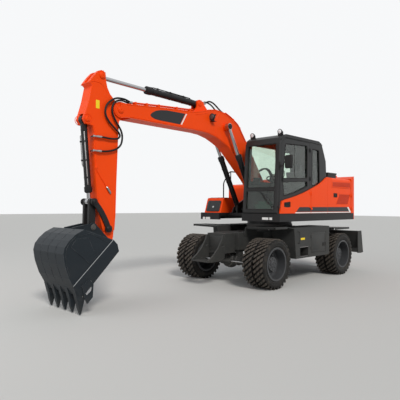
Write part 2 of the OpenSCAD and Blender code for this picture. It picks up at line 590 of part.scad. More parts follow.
// Bonnet over the engine, with rounded shoulders, side skirts and a louvre in each skirt
module bonnet() color(orange) machine() {
    out = skin_y;
    t = panel_t;
    shoulder = 70;
    louvre = [[bay_rear + 40, 2208], [-890, 2200], [-890, 2320], [bay_rear + 40, 2340]];
    difference() {
        bay(bay_rear, -856) polygon(concat(
            [[out, bonnet_z - bonnet_skirt]],
            [for (a = [0 : 22.5 : 90]) [out - shoulder + shoulder * cos(a), bonnet_z - shoulder + shoulder * sin(a)]],
            [for (a = [90 : 22.5 : 180]) [shoulder - out + shoulder * cos(a), bonnet_z - shoulder + shoulder * sin(a)]],
            [[-out, bonnet_z - bonnet_skirt], [t - out, bonnet_z - bonnet_skirt], [t - out, bonnet_z - shoulder],
                [shoulder - out, bonnet_z - t], [out - shoulder, bonnet_z - t], [out - t, bonnet_z - shoulder],
                [out - t, bonnet_z - bonnet_skirt]]));
        pair(0, out - recess, out + 1) polygon(louvre);
        // The skirts' rear corners, trimmed to swing clear of the counterweight
        pair(0, out - t - 1, out + 1) polygon([[bay_rear - 1, bonnet_z - 125],
            [bay_rear + 25, bonnet_z - bonnet_skirt - 1], [bay_rear - 1, bonnet_z - bonnet_skirt - 1]]);
    }
    for (z = [2226 : 22 : 2314]) pair(0, out - recess - 1, out - 2)
        polygon([[bay_rear + 39, z], [-889, z], [-889, z + 9], [bay_rear + 39, z + 9]]);
    for (y = bonnet_hinge_y) translate([bonnet_hinge.x, y, bonnet_hinge.y]) rotate([90, 0, 0])
        hinge_half(-60, knuckle_r, false);
}

// Engine air intake on the bonnet
module intake() color(black) machine() translate([-1540, 620, bonnet_z]) {
    cube([440, 380, 110]);
    translate([-12, -12, 110]) cube([464, 404, 42]);
}

// Service door with its grille, a latch in a pocket and hinges at the rear
module service_door(side) color(orange) machine() mirror([0, side > 0 ? 0 : 1, 0]) {
    grille = [[-1700, 1770], [-1070, 1770], [-1250, 2030], [-1850, 2030]];
    pocket_low = [-1080, 1950];
    difference() {
        slab(cab_y, skin_y) polygon([[bay_rear, 1560], [-656, 1560], [-656, bonnet_z - 8], [-850, bonnet_z - 8],
            [-850, door_top], [bay_rear, door_top]]);
        slab(skin_y - recess, skin_y + 1) polygon(grille);
        translate([pocket_low.x - 50, skin_y - 18, pocket_low.y]) cube([180, 20, 90]);
    }
    // Upright bars across the grille, each as [foot, top]
    for (i = [1 : 14]) slab(skin_y - recess - 1, skin_y - 3) polygon([for (e = [[0, 0], [8, 0], [8, 1], [0, 1]])
        [-1700 + i * 42 + e[0] + e[1] * -150 - e[1] * i * 2, 1769 + e[1] * 262]]);
    translate([pocket_low.x - 20, skin_y - 19, pocket_low.y + 20]) cube([110, 14, 50]);
    for (z = service_hinge_z) translate([service_hinge.x, service_hinge.y, z])
        hinge_half(70, service_hinge.y - skin_y, false);
}
module service_door_left() service_door(1);
module service_door_right() service_door(-1);

module counterweight() color(orange) machine() {
    corner = 240;
    front = bay_rear - 16;
    rear = -2255;
    intersection() {
        translate([0, 0, skirt_z]) linear_extrude(weight_z - skirt_z) {
            for (s = [-1, 1]) translate([rear + corner, s * (body_half - corner)]) circle(corner);
            translate([rear, corner - body_half]) square([-rear + front, 2 * (body_half - corner)]);
            translate([rear + corner, -body_half]) square([front - rear - corner, 2 * body_half]);
        }
        slab(-body_half, body_half) polygon([[front, deck_z], [front, bonnet_z + 15], [-2040, weight_z - 20],
            [-2130, weight_z], [-2200, weight_z - 40], [-2240, weight_z - 200], [rear, 1900], [-2235, 1450],
            [-2180, skirt_z], [-2045, skirt_z], [-2045, deck_z]]);
    }
    for (m = [0, 1], z = service_hinge_z) mirror([0, m, 0]) translate([service_hinge.x, service_hinge.y, z])
        hinge_half(-70, service_hinge.y - body_half, true);
}

module engine_block() color(grey) machine() translate([-1780, -420, deck_z]) cube([940, 800, 700]);

module tank() color(orange) machine() slab(-skin_y, -660) polygon([[-652, deck_z], [120, deck_z], [110, 2180],
    [60, 2250], [-30, 2290], [-652, 2290]]);

module tool_box() color(orange) machine() slab(-skin_y, -700) polygon([[440, deck_z], [1045, deck_z],
    [935, 1890], [900, 1918], [640, 1918], [590, 1890]]);

module cab_mirror() color(black) machine() {
    translate([1340, 1355, 2480]) cube([45, 175, 270]);
    translate([1352, cab_y, 2560]) cube([20, 155, 20]);
    translate([1340, cab_y, 2520]) cube([40, 22, 100]);
}

// Roof lamps on their feet
module lamps() color(steel) machine() {
    roof = [[1100, cab_z], [1215, cab_z - 35]];
    for (y = [cab_inner_y + 90, cab_y - 90]) {
        slab(y - 12, y + 12) polygon([[1170, lookup(1170, roof)], [1200, lookup(1200, roof)],
            [1200, cab_z + 32], [1170, cab_z + 32]]);
        translate([1150, y - 65, cab_z + 30]) cube([70, 130, 90]);
    }
}

// Boom: cranked box with foot, tip fork, cylinder bosses and the ears of the stick cylinder
module boom() color(orange) machine() {
    slot = stick_half + gap;
    difference() {
        union() {
            slab(arm_y - boom_half, arm_y + boom_half) {
                polygon([[262, 1830], [778, 2356], [1223, 2732], [1403, 2887], [1599, 3040], [1752, 3110],
                    [2007, 3209], [2248, 3261], [2480, 3275], [4337, 3275], [4500, 3250], [4500, 3530],
                    [4379, 3520], [3614, 3589], [2638, 3661], [2230, 3770], [2011, 3807], [1757, 3780],
                    [1496, 3684], [1257, 3556], [997, 3230], [40, 1975]]);
                translate(boom_foot) circle(134);
                translate(boom_tip) circle(140);
            }
            pair(arm_y, boom_half - 5, boom_half + 50) translate(boom_eye) circle(78);
            pair(arm_y, 56, 92) {
                polygon([[2180, 3740], [2640, 3640], [2526, 3790], [2520, 3900], [2400, 3948]]);
                translate(stick_base) circle(80);
            }
        }
        cross_bar(boom_foot, arm_y - boom_half - 1, arm_y + boom_half + 1, pin_r + fit);
        slab(arm_y - slot, arm_y + slot) polygon([[4265, 3000], [4700, 3000], [4700, 3700], [4265, 3700]]);
    }
    // Blocks on the ears where the hoses over the bend end
    pair(arm_y, 56, 92) translate(ear_port) polygon([[0, -70], [45, -40], [45, 22], [0, 22]]);
    cross_bar(boom_tip, arm_y - boom_half - 10, arm_y + boom_half + 10, pin_r);
    cross_bar(stick_base, arm_y - 98, arm_y + 98, pin_r);
}

// Steel pipes up the boom's back and along its top, on clamps that bridge each bend
pipe_r = 13;
pipe_lift = 30;
boom_back = [[620, 2736], [997, 3230], [1257, 3556], [1496, 3684], [1700, 3759]];
boom_top = [[2690, 3657], [3614, 3589], [4260, 3530.7]];
// The clamp at the share t of the run that starts at point i of the line, or over that point where t is 0
function clamp(line, i, t) =
    let (b = unit(line[i + 1] - line[i]), a = t > 0 || i == 0 ? b : unit(line[i] - line[i - 1]),
        n = unit([-a.y - b.y, a.x + b.x]), foot = line[i] + (line[i + 1] - line[i]) * t)
    [foot - a * 18 + n * seam, foot + n * seam, foot + b * 18 + n * seam, foot + b * 18 + n * 48, foot - a * 18 + n * 48];
module pipe_row(line, sides, clamps) {
    run = raised(line, pipe_lift);
    for (y = sides, i = [0 : len(run) - 2]) translate([0, arm_y + y, 0])
        aimed(run[i], run[i + 1]) cylinder(r = pipe_r, h = norm(run[i + 1] - run[i]));
    for (c = clamps) slab(arm_y + min(sides) - 17, arm_y + max(sides) + 17) polygon(clamp(line, c[0], c[1]));
}
module boom_pipes() color(orange) machine() {
    pipe_row(boom_top, top_pipes, [[0, 0.1], [0, 0.5], [1, 0], [1, 0.45], [1, 0.85]]);
    pipe_row(boom_top, [-142, -100], [[0, 0.1], [0, 0.5], [1, 0], [1, 0.45], [1, 0.85]]);
    pipe_row(boom_back, back_pipes, [[0, 0.3], [1, 0], [2, 0], [3, 0], [3, 0.85]]);
}

// Free hoses. Each route is a list of points in X, Y and Z after the end of the pipe that it leaves
hose_r = 14;
foot_hose_r = 19;
hose_sides = 8;
tip_route_outer = [[4330, 4, 3570], [4410, 14, 3586], [4500, 20, 3586], [4585, 23, 3576], [4665, 24, 3542],
    [4740, 24, 3486], [4800, 24, 3415], [4825, 24, 3330], [4812, 24, 3240], [4757, 24, 3155], [4690, 24, 3092],
    [4610, 24, 3030], [4545, 24, 2972], [4524, 24, 2920], [4560, 24, 2876], [4640, 24, 2858], [4734, 23, 2854],
    [4848, 22, 2860], [4920, 22, 2861]];
tip_route_inner = [[4320, -34, 3553], [4385, -2, 3548], [4460, 18, 3552], [4535, 22, 3546], [4605, 22, 3518],
    [4655, 22, 3470], [4684, 22, 3400], [4682, 22, 3320], [4650, 22, 3240], [4600, 22, 3158], [4547, 22, 3090],
    [4500, 22, 3020], [4474, 22, 2940], [4476, 22, 2850], [4503, 22, 2768], [4565, 22, 2705], [4645, 22, 2664],
    [4735, 22, 2638], [4840, 22, 2622], [4920, 22, 2620]];
knee_route_left = [[1765, -65, 3815], [1840, -67, 3856], [1915, -71, 3905], [1995, -75, 3948], [2085, -76, 3972],
    [2170, -76, 3962], [2240, -76, 3925], [2290, -76, 3905]];
knee_route_right = [[1755, -200, 3818], [1820, -203, 3866], [1885, -208, 3918], [1960, -215, 3960],
    [2045, -221, 3984], [2130, -224, 3982], [2215, -224, 3940], [2285, -224, 3905]];
foot_route = [[500, 2640], [410, 2590], [300, 2580], [190, 2610], [80, 2650], [-40, 2660], [-160, 2620],
    [-250, 2530], [-295, 2410], [-300, 2300]];
// Sides of the boom's pipes, measured from the arm's middle plane
top_pipes = [100, 142];
back_pipes = [-50, -5, 40, 85];
// Fittings where the hoses end: height on the stick's side, and place on the boom's ears
stick_ports = [[4950, 22, 2861], [4950, 22, 2620]];
ear_port = [2318, 3905];
foot_port = [-300, 2205];

module hose(route, r) {
    last = len(route) - 1;
    points = [for (i = [0 : last])
        let (t = unit(route[min(i + 1, last)] - route[max(i - 1, 0)]), s = unit([0, 1, 0] - t * t.y), n = cross(t, s))
        for (k = [0 : hose_sides - 1])
            route[i] + r * (s * cos(360 * k / hose_sides) + n * sin(360 * k / hose_sides))];
    polyhedron(points, concat(
        [[for (k = [0 : hose_sides - 1]) k], [for (k = [hose_sides - 1 : -1 : 0]) last * hose_sides + k]],
        [for (i = [0 : last - 1], k = [0 : hose_sides - 1], half = [0, 1])
            let (a = i * hose_sides + k, b = i * hose_sides + (k + 1) % hose_sides)
            half == 0 ? [a, a + hose_sides, b + hose_sides] : [a, b + hose_sides, b]]));
}
// The end of a pipe line, a little past its face and then a short way on, at the side y
function pipe_end(line, y, at_end) =
    let (run = raised(line, pipe_lift), p = at_end ? run[len(run) - 1] : run[0],
        d = at_end ? unit(p - run[len(run) - 2]) : unit(p - run[1]))
    [for (step = [seam, at_end ? 20 : 45]) [p.x + d.x * step, arm_y + y, p.y + d.y * step]];

module tip_hose_outer() color(black) machine()
    hose(concat(pipe_end(boom_top, top_pipes[1], true), tip_route_outer, [stick_ports[0] - [seam, 0, 0]]), hose_r);
module tip_hose_inner() color(black) machine()
    hose(concat(pipe_end(boom_top, top_pipes[0], true), tip_route_inner, [stick_ports[1] - [seam, 0, 0]]), hose_r);
module knee_hose_left() color(black) machine() hose(concat(pipe_end(boom_back, back_pipes[3], true),
    knee_route_left, [[ear_port.x - seam, knee_route_left[7].y, ear_port.y]]), hose_r);
module knee_hose_right() color(black) machine() hose(concat(pipe_end(boom_back, back_pipes[0], true),
    knee_route_right, [[ear_port.x - seam, knee_route_right[7].y, ear_port.y]]), hose_r);
module foot_hose(y) color(black) machine() hose(concat(pipe_end(boom_back, y, false),
    [for (p = concat(foot_route, [foot_port + [0, seam]])) [p.x, arm_y + y, p.y]]), foot_hose_r);
module foot_hose_left() foot_hose(back_pipes[2]);
module foot_hose_right() foot_hose(back_pipes[1]);

// Work lamp on the boom's left side: bracket, drum and lens rim
module boom_lamp() color(black) machine() translate([2165, arm_y + boom_half, 3610]) {
    translate([-70, 0, -90]) cube([60, 8, 120]);
    translate([-70, 0, -90]) cube([100, 90, 8]);
    translate([-20, 70, 0]) rotate([0, 90, 0]) {
        cylinder(r1 = 38, r2 = 62, h = 55);
        translate([0, 0, 55]) cylinder(r = 66, h = 18);
    }
    translate([-22, 62, -84]) cube([14, 16, 60]);
}

module boom_barrels() color(black) machine() for (s = [-1, 1])
    barrel(boom_base, boom_eye, arm_y + s * boom_cyl_y, 1400, 62, 74, 48, pin_r, rod_r, 150);
module boom_rods() color(steel) machine() for (s = [-1, 1])
    rod(boom_base, boom_eye, arm_y + s * boom_cyl_y, 680, rod_r, 72, 45, pin_r);
module stick_barrel() color(black) machine()
    barrel(stick_base, stick_eye, arm_y, 1370, 66, 78, 50, pin_r, rod_r, 120);
module stick_rod() color(steel) machine() rod(stick_base, stick_eye, arm_y, 950, rod_r, 60, 44, pin_r);
module bucket_barrel() color(black) machine()
    barrel(bucket_base, rod_pin, arm_y, 1210, bucket_barrel_r, 70, 44, small_pin, rod_r - 4, 90);
module bucket_rod() color(steel) machine() rod(bucket_base, rod_pin, arm_y, 180, rod_r - 4, 60, 40, small_pin);

// Stick: tapered box with the boom pin's boss, the tail fork, the ears of the bucket cylinder and a narrow nose
nose_half_y = 108;
bucket_barrel_r = 55;
module stick() color(orange) machine() {
    difference() {
        slab(arm_y - stick_half, arm_y + stick_half) {
            polygon([[4600, 1170], [4640, 1000], [4800, 1000], [4822, 1270], [4893, 1532], [4959, 2057],
                [4987, 2347], [5008, 2665], [5005, 2935], [5031, 3044], [5158, 3064], [5205, 3134], [5110, 3455],
                [5056, 3715], [5115, 3761], [5016, 3898], [4940, 3985], [4877, 4010], [4797, 3985], [4788, 3861],
                [4758, 3737], [4702, 3632], [4560, 3500], [4440, 3280], [4513, 3180], [4530, 2829], [4556, 2110],
                [4569, 1529]]);
            translate(boom_tip) circle(128);
            translate(bucket_pin) circle(88);
        }
        cross_bar(boom_tip, arm_y - 200, arm_y + 200, pin_r + fit);
        cross_bar(side_pivot, arm_y - 200, arm_y + 200, small_pin + fit);
        cross_bar(bucket_pin, arm_y - 200, arm_y + 200, small_pin + fit);
        pair(arm_y, nose_half_y, stick_half + 10) polygon([[4500, 900], [4950, 900], [4950, 1275], [4500, 1275]]);
        slab(arm_y - 54, arm_y + 54) polygon([[4600, 3770], [5200, 3770], [5200, 4100], [4600, 4100]]);
        slab(arm_y - bucket_barrel_r - gap, arm_y + bucket_barrel_r + gap)
            polygon([[5034, 3000], [5300, 3000], [5300, 3230], [5034, 3230]]);
    }
    pair(arm_y, stick_half - 5, stick_half + 12) translate(stick_eye) circle(pin_r);
    // Steel elbows that take the hoses round to the bucket's cylinder
    for (p = stick_ports) {
        translate(p) rotate([0, 90, 0]) cylinder(r = 15, h = 82);
        cross_bar([p.x + 82, p.z], arm_y + 80, p.y + 13, 13);
        slab(arm_y + stick_half - 1, p.y) polygon([[p.x + 12, p.z - 20], [p.x + 42, p.z - 20],
            [p.x + 42, p.z + 20], [p.x + 12, p.z + 20]]);
    }
    cross_bar(bucket_base, arm_y - stick_half - 12, arm_y + stick_half + 12, small_pin);
}

// Curved links beside the stick, on one pin through it, with a stub of the rod's pin on each
link_in = stick_half + 18;
link_bow = 28;
link_half = 46;
bucket_link_y = [52, 104];
module side_links() color(black) machine() {
    pair(arm_y, link_in, link_in + 28) {
        polygon(concat(bowed(side_pivot, rod_pin, link_bow, -link_half),
            reversed(bowed(side_pivot, rod_pin, link_bow, link_half))));
        translate(side_pivot) circle(66);
        translate(rod_pin) circle(60);
    }
    pair(arm_y, link_in + 27, link_in + 38) {
        translate(side_pivot) circle(50);
        translate(rod_pin) circle(46);
    }
    cross_bar(side_pivot, arm_y - link_in - 32, arm_y + link_in + 32, small_pin);
    pair(arm_y, bucket_link_y[1] + gap, link_in + 32) translate(rod_pin) circle(small_pin);
}

module bucket_link() color(black) machine() {
    difference() {
        pair(arm_y, bucket_link_y[0], bucket_link_y[1]) link_outline(rod_pin, 58, link_pin, 60);
        cross_bar(link_pin, arm_y - 110, arm_y + 110, small_pin + fit);
    }
    slab(arm_y - bucket_link_y[0], arm_y + bucket_link_y[0])
        polygon([[4992, 1450], [5030, 1450], [5030, 1660], [4992, 1660]]);
}

// Bucket: plate shell with wear straps round its back, doubled side plates, ears with their pins, lip with
// tapered teeth in their adapters, and a side cutter with a window on each side
bucket_sheet = 24;
bucket_lip = [5385, 318];
bucket_outline = [[4750, 950], [5215, 483], bucket_lip, [5500, 330], [5578, 480], [5644, 593], [5718, 800],
    [5746, 974], [5721, 1076], [5650, 1167], [5545, 1258], [5394, 1330], [4872, 1150], [4777, 1068]];
ear_in = nose_half_y + gap;
ear_t = 28;
tooth_count = 5;
tooth_w = 80;
strap_count = 4;
strap_gap = 12;
// Depth of the grooves between the straps, and how far the side plates' doublers stand out
groove = 7;
doubler = 8;
tooth_tip = 28;
tooth_top = 420;
tooth_low = 20;
// Outline of the side cutter and of its window
cutter = [[5450, 465], [5322, 558], [5240, 477], [5253, 271], [5347, 183], [5406, 294], [5421, 410]];
cutter_window = [[5287, 460], [5264, 420], [5270, 372], [5352, 308], [5378, 345], [5318, 410]];
cutter_t = 22;

module tooth(y) intersection() {
    union() {
        // Adapter, a fork over the lip
        slab(y - tooth_w / 2, y + tooth_w / 2) polygon([[5366, 400], [5376, 250], [5420, 215], [5470, 215], [5505, 250],
            [5552, tooth_top], [5520, 430], [5480, 330], [5400, 330]]);
        slab(y - tooth_w / 2, y + tooth_w / 2) polygon([[5381, 240], [5400, 130], [5425, tooth_low],
            [5445, tooth_low], [5480, 130], [5497, 240]]);
    }
    bay(5300, 5600) polygon([[y - tooth_w / 2, tooth_top + 20], [y - tooth_w / 2, 250], [y - tooth_tip / 2, tooth_low],
        [y + tooth_tip / 2, tooth_low], [y + tooth_w / 2, 250], [y + tooth_w / 2, tooth_top + 20]]);
}

module bucket() color(bucket_blue) machine() {
    half = bucket_w / 2;
    inner = inset(bucket_outline, bucket_sheet);
    last = len(inner) - 1;
    strap = bucket_w / strap_count;
    difference() {
        slab(arm_y - half, arm_y + half) polygon(bucket_outline);
        slab(arm_y - half + bucket_sheet, arm_y + half - bucket_sheet) polygon(concat(
            [inner[0] + [-80, -80], inner[1] + [-60, -60], bucket_lip - [20, 68]], [for (i = [3 : last]) inner[i]]));
        cross_bar(bucket_pin, arm_y - ear_in + 1, arm_y + ear_in - 1, 125);
        // Grooves between the wear straps
        for (i = [1 : strap_count - 1]) slab(arm_y - half + i * strap - strap_gap / 2, arm_y - half + i * strap + strap_gap / 2)
            difference() {
                polygon([[5600, 520], [5900, 520], [5900, 1400], [5420, 1400], [5420, 1200], [5500, 1000]]);
                polygon(inset(bucket_outline, groove));
            }
    }
    // Doublers on the side plates: along the mouth, across the top, and a patch between them
    pair(arm_y, half - 1, half + doubler) {
        polygon([[4752, 952], [5215, 489], [5387, 322], [5498, 334], [5574, 478], [4862, 1148], [4790, 1072]]);
        polygon([[4885, 1146], [5394, 1322], [5538, 1254], [5470, 1230], [5330, 1262], [5250, 1250], [4960, 1100],
            [4925, 1110]]);
        polygon([[5329, 1202], [5529, 1193], [5624, 1073], [5295, 793], [5178, 894]]);
    }
    pair(arm_y, half + doubler - 1, half + doubler + cutter_t) difference() {
        polygon(cutter);
        polygon(cutter_window);
    }
    pair(arm_y, ear_in, ear_in + ear_t) {
        link_outline(bucket_pin, 82, link_pin, 74);
        polygon([[4690, 980], [4752, 955], [4782, 1060], [4874, 1140], [5394, 1320], [5394, 1345], [5090, 1400],
            [4960, 1370]]);
    }
    for (p = [bucket_pin, link_pin]) {
        cross_bar(p, arm_y - ear_in - ear_t - 3, arm_y + ear_in + ear_t + 3, small_pin);
        pair(arm_y, ear_in + ear_t - 1, ear_in + ear_t + 10) translate(p) circle(small_pin + 18);
    }
    for (i = [0 : tooth_count - 1]) tooth(arm_y - half + tooth_w / 2 + i * (bucket_w - tooth_w) / (tooth_count - 1));
}

main_frame();
slew_ring();
step_box_left();
step_box_right();
mudguards();
front_axle();
rear_axle();
drive_shafts();
tie_rod();
knuckle_left();
knuckle_right();
tyres_front_left();
tyres_front_right();
tyres_rear_left();
tyres_rear_right();
wheel_front_left();
wheel_front_right();
wheel_rear_left();
wheel_rear_right();
blade();
blade_barrels();
blade_rods();
deck();
cab_shell();
cab_glass();
seat();
controls();
cab_door();
door_skin();
door_glass();
body_panels();
bonnet();
intake();
service_door_left();
service_door_right();
counterweight();
engine_block();
tank();
tool_box();
cab_mirror();
lamps();
boom();
boom_pipes();
boom_lamp();
tip_hose_outer();
tip_hose_inner();
knee_hose_left();
knee_hose_right();
foot_hose_left();
foot_hose_right();
boom_barrels();
boom_rods();
stick_barrel();
stick_rod();
stick();
bucket_barrel();
bucket_rod();
side_links();
bucket_link();
bucket();
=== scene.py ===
import math

import bpy
from mathutils import Matrix, Vector


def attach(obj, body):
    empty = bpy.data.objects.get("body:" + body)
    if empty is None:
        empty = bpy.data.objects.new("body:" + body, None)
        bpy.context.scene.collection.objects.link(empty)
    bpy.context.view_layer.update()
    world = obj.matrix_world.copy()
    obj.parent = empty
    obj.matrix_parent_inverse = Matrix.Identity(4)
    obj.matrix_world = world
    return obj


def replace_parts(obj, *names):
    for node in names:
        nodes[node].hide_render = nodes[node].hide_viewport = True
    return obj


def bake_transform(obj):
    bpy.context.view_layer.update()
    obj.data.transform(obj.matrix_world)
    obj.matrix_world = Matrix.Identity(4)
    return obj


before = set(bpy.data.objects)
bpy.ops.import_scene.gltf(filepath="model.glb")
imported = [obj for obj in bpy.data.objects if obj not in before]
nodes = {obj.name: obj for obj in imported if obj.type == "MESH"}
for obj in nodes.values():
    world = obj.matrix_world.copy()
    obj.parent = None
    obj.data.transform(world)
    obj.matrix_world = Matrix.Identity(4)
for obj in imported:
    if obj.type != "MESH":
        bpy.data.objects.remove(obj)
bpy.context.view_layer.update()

# pieces are drawn from the swing axis and the wheels' middle plane, and moved by this at the end
middle = Vector((-1.563, -0.140, 0.0))
armY = -0.150
sides = {"left": 1, "right": -1}

# pins of the arm and the blade, as in the part
pins = {
    "boomFoot": (0.150, 1.900), "boomTip": (4.500, 3.390), "boomEye": (1.710, 3.460), "boomBase": (0.700, 1.630),
    "stickBase": (2.450, 3.870), "stickEye": (4.860, 3.925), "bucketBase": (5.140, 3.140),
    "sidePivot": (4.730, 1.307), "rodPin": (5.015, 1.765), "linkPin": (5.020, 1.340), "bucketPin": (4.720, 1.030),
    "bladePivot": (-1.800, 0.620),
}
# tyres, whose radii the rubber's colours use too
tyre = {
    "radius": 0.520, "width": 0.250, "bead": 0.335, "treadBase": 0.486, "steps": 96,
    "outerFace": 1.250, "gap": 0.030, "axles": {"front": 1.480, "rear": -1.445},
    "blocks": 30, "rows": [(-0.114, -0.045), (-0.035, 0.035), (0.045, 0.114)],
    "skew": -0.056, "block": 0.061, "turn": -0.126, "shrink": 0.08,
    "shoulder": (0.1215, 0.463), "crown": 0.5195,
}
print("frame loaded:", len(nodes), "nodes")


# shader nodes: a source is another node's socket or a plain value
def addNode(tree, kind, **settings):
    node = tree.nodes.new("ShaderNode" + kind)
    for key, value in settings.items():
        setattr(node, key, value)
    return node


def feed(tree, node, sources):
    for key, source in sources.items():
        socket = node.inputs[key]
        if isinstance(source, bpy.types.NodeSocket):
            tree.links.new(source, socket)
        else:
            socket.default_value = (*source, 1.0) if socket.type == "RGBA" else source


def addMath(tree, operation, first, second=0.0, clamp=False):
    node = addNode(tree, "Math", operation=operation, use_clamp=clamp)
    feed(tree, node, {0: first, 1: second})
    return node.outputs[0]


def addNoise(tree, vector, scale, detail=3.0, roughness=0.55):
    node = addNode(tree, "TexNoise")
    feed(tree, node, {"Vector": vector, "Scale": scale, "Detail": detail, "Roughness": roughness})
    return node.outputs["Fac"]


def addRange(tree, value, low, high, newLow=0.0, newHigh=1.0):
    node = addNode(tree, "MapRange")
    feed(tree, node, dict(enumerate((value, low, high, newLow, newHigh))))
    return node.outputs["Result"]


def addMix(tree, factor, first, second):
    node = addNode(tree, "Mix", data_type="RGBA")
    feed(tree, node, {0: factor, 6: first, 7: second})
    return node.outputs[2]


# camera, floor and light
viewpoint = {
    "spot": (7.3445, 6.1359, 1.6954), "yaw": 224.33, "pitch": 0.88, "roll": 0.33,
    "focalPixels": 430.04, "pixels": 400.0, "sensor": 36.0,
}
studio = {
    "floorSize": 160.0, "floorColor": (0.56, 0.56, 0.545), "skyColor": (0.86, 0.90, 0.95), "skyStrength": 0.48,
    "backColor": (0.93, 0.94, 0.95), "sunStrength": 2.15, "sunAngle": 14.0, "sunColor": (1.0, 0.965, 0.92),
    "sunFrom": (4.0, 7.5, 6.8), "fillStrength": 300.0, "fillFrom": (12.0, -3.0, 6.0), "fillTo": (0, 0, 1.5),
    "fillSize": 7.0,
}


def addCamera():
    yaw, pitch, roll = (math.radians(viewpoint[key]) for key in ("yaw", "pitch", "roll"))
    ahead = Vector((math.cos(yaw) * math.cos(pitch), math.sin(yaw) * math.cos(pitch), math.sin(pitch)))
    level = Vector((math.sin(yaw), -math.cos(yaw), 0.0))
    above = level.cross(ahead)
    right = math.cos(roll) * level + math.sin(roll) * above
    top = -math.sin(roll) * level + math.cos(roll) * above
    bpy.ops.object.camera_add(location=viewpoint["spot"])
    camera = bpy.context.object
    turn = Matrix((right, top, -ahead)).transposed().to_4x4()
    camera.matrix_world = Matrix.Translation(viewpoint["spot"]) @ turn
    camera.data.sensor_width = viewpoint["sensor"]
    camera.data.lens = viewpoint["focalPixels"] / viewpoint["pixels"] * viewpoint["sensor"]
    camera.data.clip_end = 200.0
    bpy.context.scene.camera = camera


def addLamp(kind, spot, target, energy):
    bpy.ops.object.light_add(type=kind, location=spot)
    lamp = bpy.context.object
    lamp.rotation_euler = (Vector(spot) - Vector(target)).to_track_quat("Z", "Y").to_euler()
    lamp.data.energy = energy
    return lamp.data


def addStudio():
    world = bpy.data.worlds.new("studioSky")
    world.use_nodes = True
    bpy.context.scene.world = world
    tree = world.node_tree
    tree.nodes.clear()
    light, back, mix, out = (addNode(tree, kind) for kind in ("Background", "Background", "MixShader", "OutputWorld"))
    feed(tree, light, {"Color": studio["skyColor"], "Strength": studio["skyStrength"]})
    feed(tree, back, {"Color": studio["backColor"]})
    path = addNode(tree, "LightPath").outputs
    shown = path["Is Camera Ray"]
    for ray in ("Is Glossy Ray", "Is Transmission Ray"):
        shown = addMath(tree, "MAXIMUM", shown, path[ray])
    feed(tree, mix, {"Fac": shown, 1: light.outputs[0], 2: back.outputs[0]})
    feed(tree, out, {"Surface": mix.outputs[0]})

    bpy.ops.mesh.primitive_plane_add(size=studio["floorSize"])
    floor = bpy.context.object
    floor.name = "studioFloor"
    stone = bpy.data.materials.new("studioFloor")
    stone.use_nodes = True
    feed(stone.node_tree, stone.node_tree.nodes["Principled BSDF"], {"Base Color": studio["floorColor"],
        "Roughness": 0.9})
    floor.data.materials.append(stone)

    sun = addLamp("SUN", studio["sunFrom"], (0, 0, 0), studio["sunStrength"])
    sun.angle = math.radians(studio["sunAngle"])
    sun.color = studio["sunColor"]
    addLamp("AREA", studio["fillFrom"], studio["fillTo"], studio["fillStrength"]).size = studio["fillSize"]
    bpy.context.scene.view_settings.view_transform = "Standard"


addCamera()
addStudio()
print("camera, floor and light")


# node groups that several finishes share
def newGroup(name, takes, gives):
    group = bpy.data.node_groups.new(name, "ShaderNodeTree")
    kinds = {"Vector": "Vector", "Color": "Color", "Dust": "Color"}
    for direction, labels in (("INPUT", takes), ("OUTPUT", gives)):
        for label in labels:
            kind = "NodeSocket" + kinds.get(label, "Float")
            group.interface.new_socket(label, in_out=direction, socket_type=kind)
    return group, group.nodes.new("NodeGroupInput").outputs, group.nodes.new("NodeGroupOutput")


def addMask(group, first, second, amount):
    return addMath(group, "MULTIPLY", addMath(group, "MULTIPLY", first, second), amount, True)


def buildTone():
    # slow and quick changes of a paint's lightness
    group, given, leave = newGroup("toneSpread", ("Vector", "Color", "Scale", "Spread"), ("Color",))
    slow = addNoise(group, given["Vector"], given["Scale"], 4.0)
    quick = addNoise(group, given["Vector"], addMath(group, "MULTIPLY", given["Scale"], 14.0), 2.0)
    both = addMath(group, "ADD", addMath(group, "MULTIPLY", slow, 0.7), addMath(group, "MULTIPLY", quick, 0.3))
    low, high = (addMath(group, way, 1.0, given["Spread"]) for way in ("SUBTRACT", "ADD"))
    shade = addNode(group, "HueSaturation")
    feed(group, shade, {"Value": addRange(group, both, 0.3, 0.7, low, high), "Color": given["Color"]})
    feed(group, leave, {"Color": shade.outputs["Color"]})
    return group


def buildDust():
    # road dust that thins out with height, in soft patches
    group, given, leave = newGroup("roadDust", ("Vector", "Color", "Dust", "Amount", "Low", "High", "Scale"),
        ("Color", "Mask"))
    split = addNode(group, "SeparateXYZ")
    feed(group, split, {0: given["Vector"]})
    height = addRange(group, split.outputs["Z"], given["Low"], given["High"], 1.0, 0.0)
    patch = addRange(group, addNoise(group, given["Vector"], given["Scale"], 5.0, 0.65), 0.38, 0.68)
    mask = addMask(group, height, patch, given["Amount"])
    feed(group, leave, {"Color": addMix(group, mask, given["Color"], given["Dust"]), "Mask": mask})
    return group


def buildEdge():
    # where paint is rubbed off along sharp edges
    group, given, leave = newGroup("edgeWear", ("Vector", "Radius", "Amount", "Scale"), ("Mask",))
    bevel = addNode(group, "Bevel", samples=4)
    feed(group, bevel, {"Radius": given["Radius"]})
    dot = addNode(group, "VectorMath", operation="DOT_PRODUCT")
    feed(group, dot, {0: bevel.outputs["Normal"], 1: addNode(group, "NewGeometry").outputs["Normal"]})
    edge = addRange(group, dot.outputs["Value"], 0.985, 0.90)
    patch = addRange(group, addNoise(group, given["Vector"], given["Scale"], 6.0, 0.7), 0.42, 0.6)
    feed(group, leave, {"Mask": addMask(group, edge, patch, given["Amount"])})
    return group


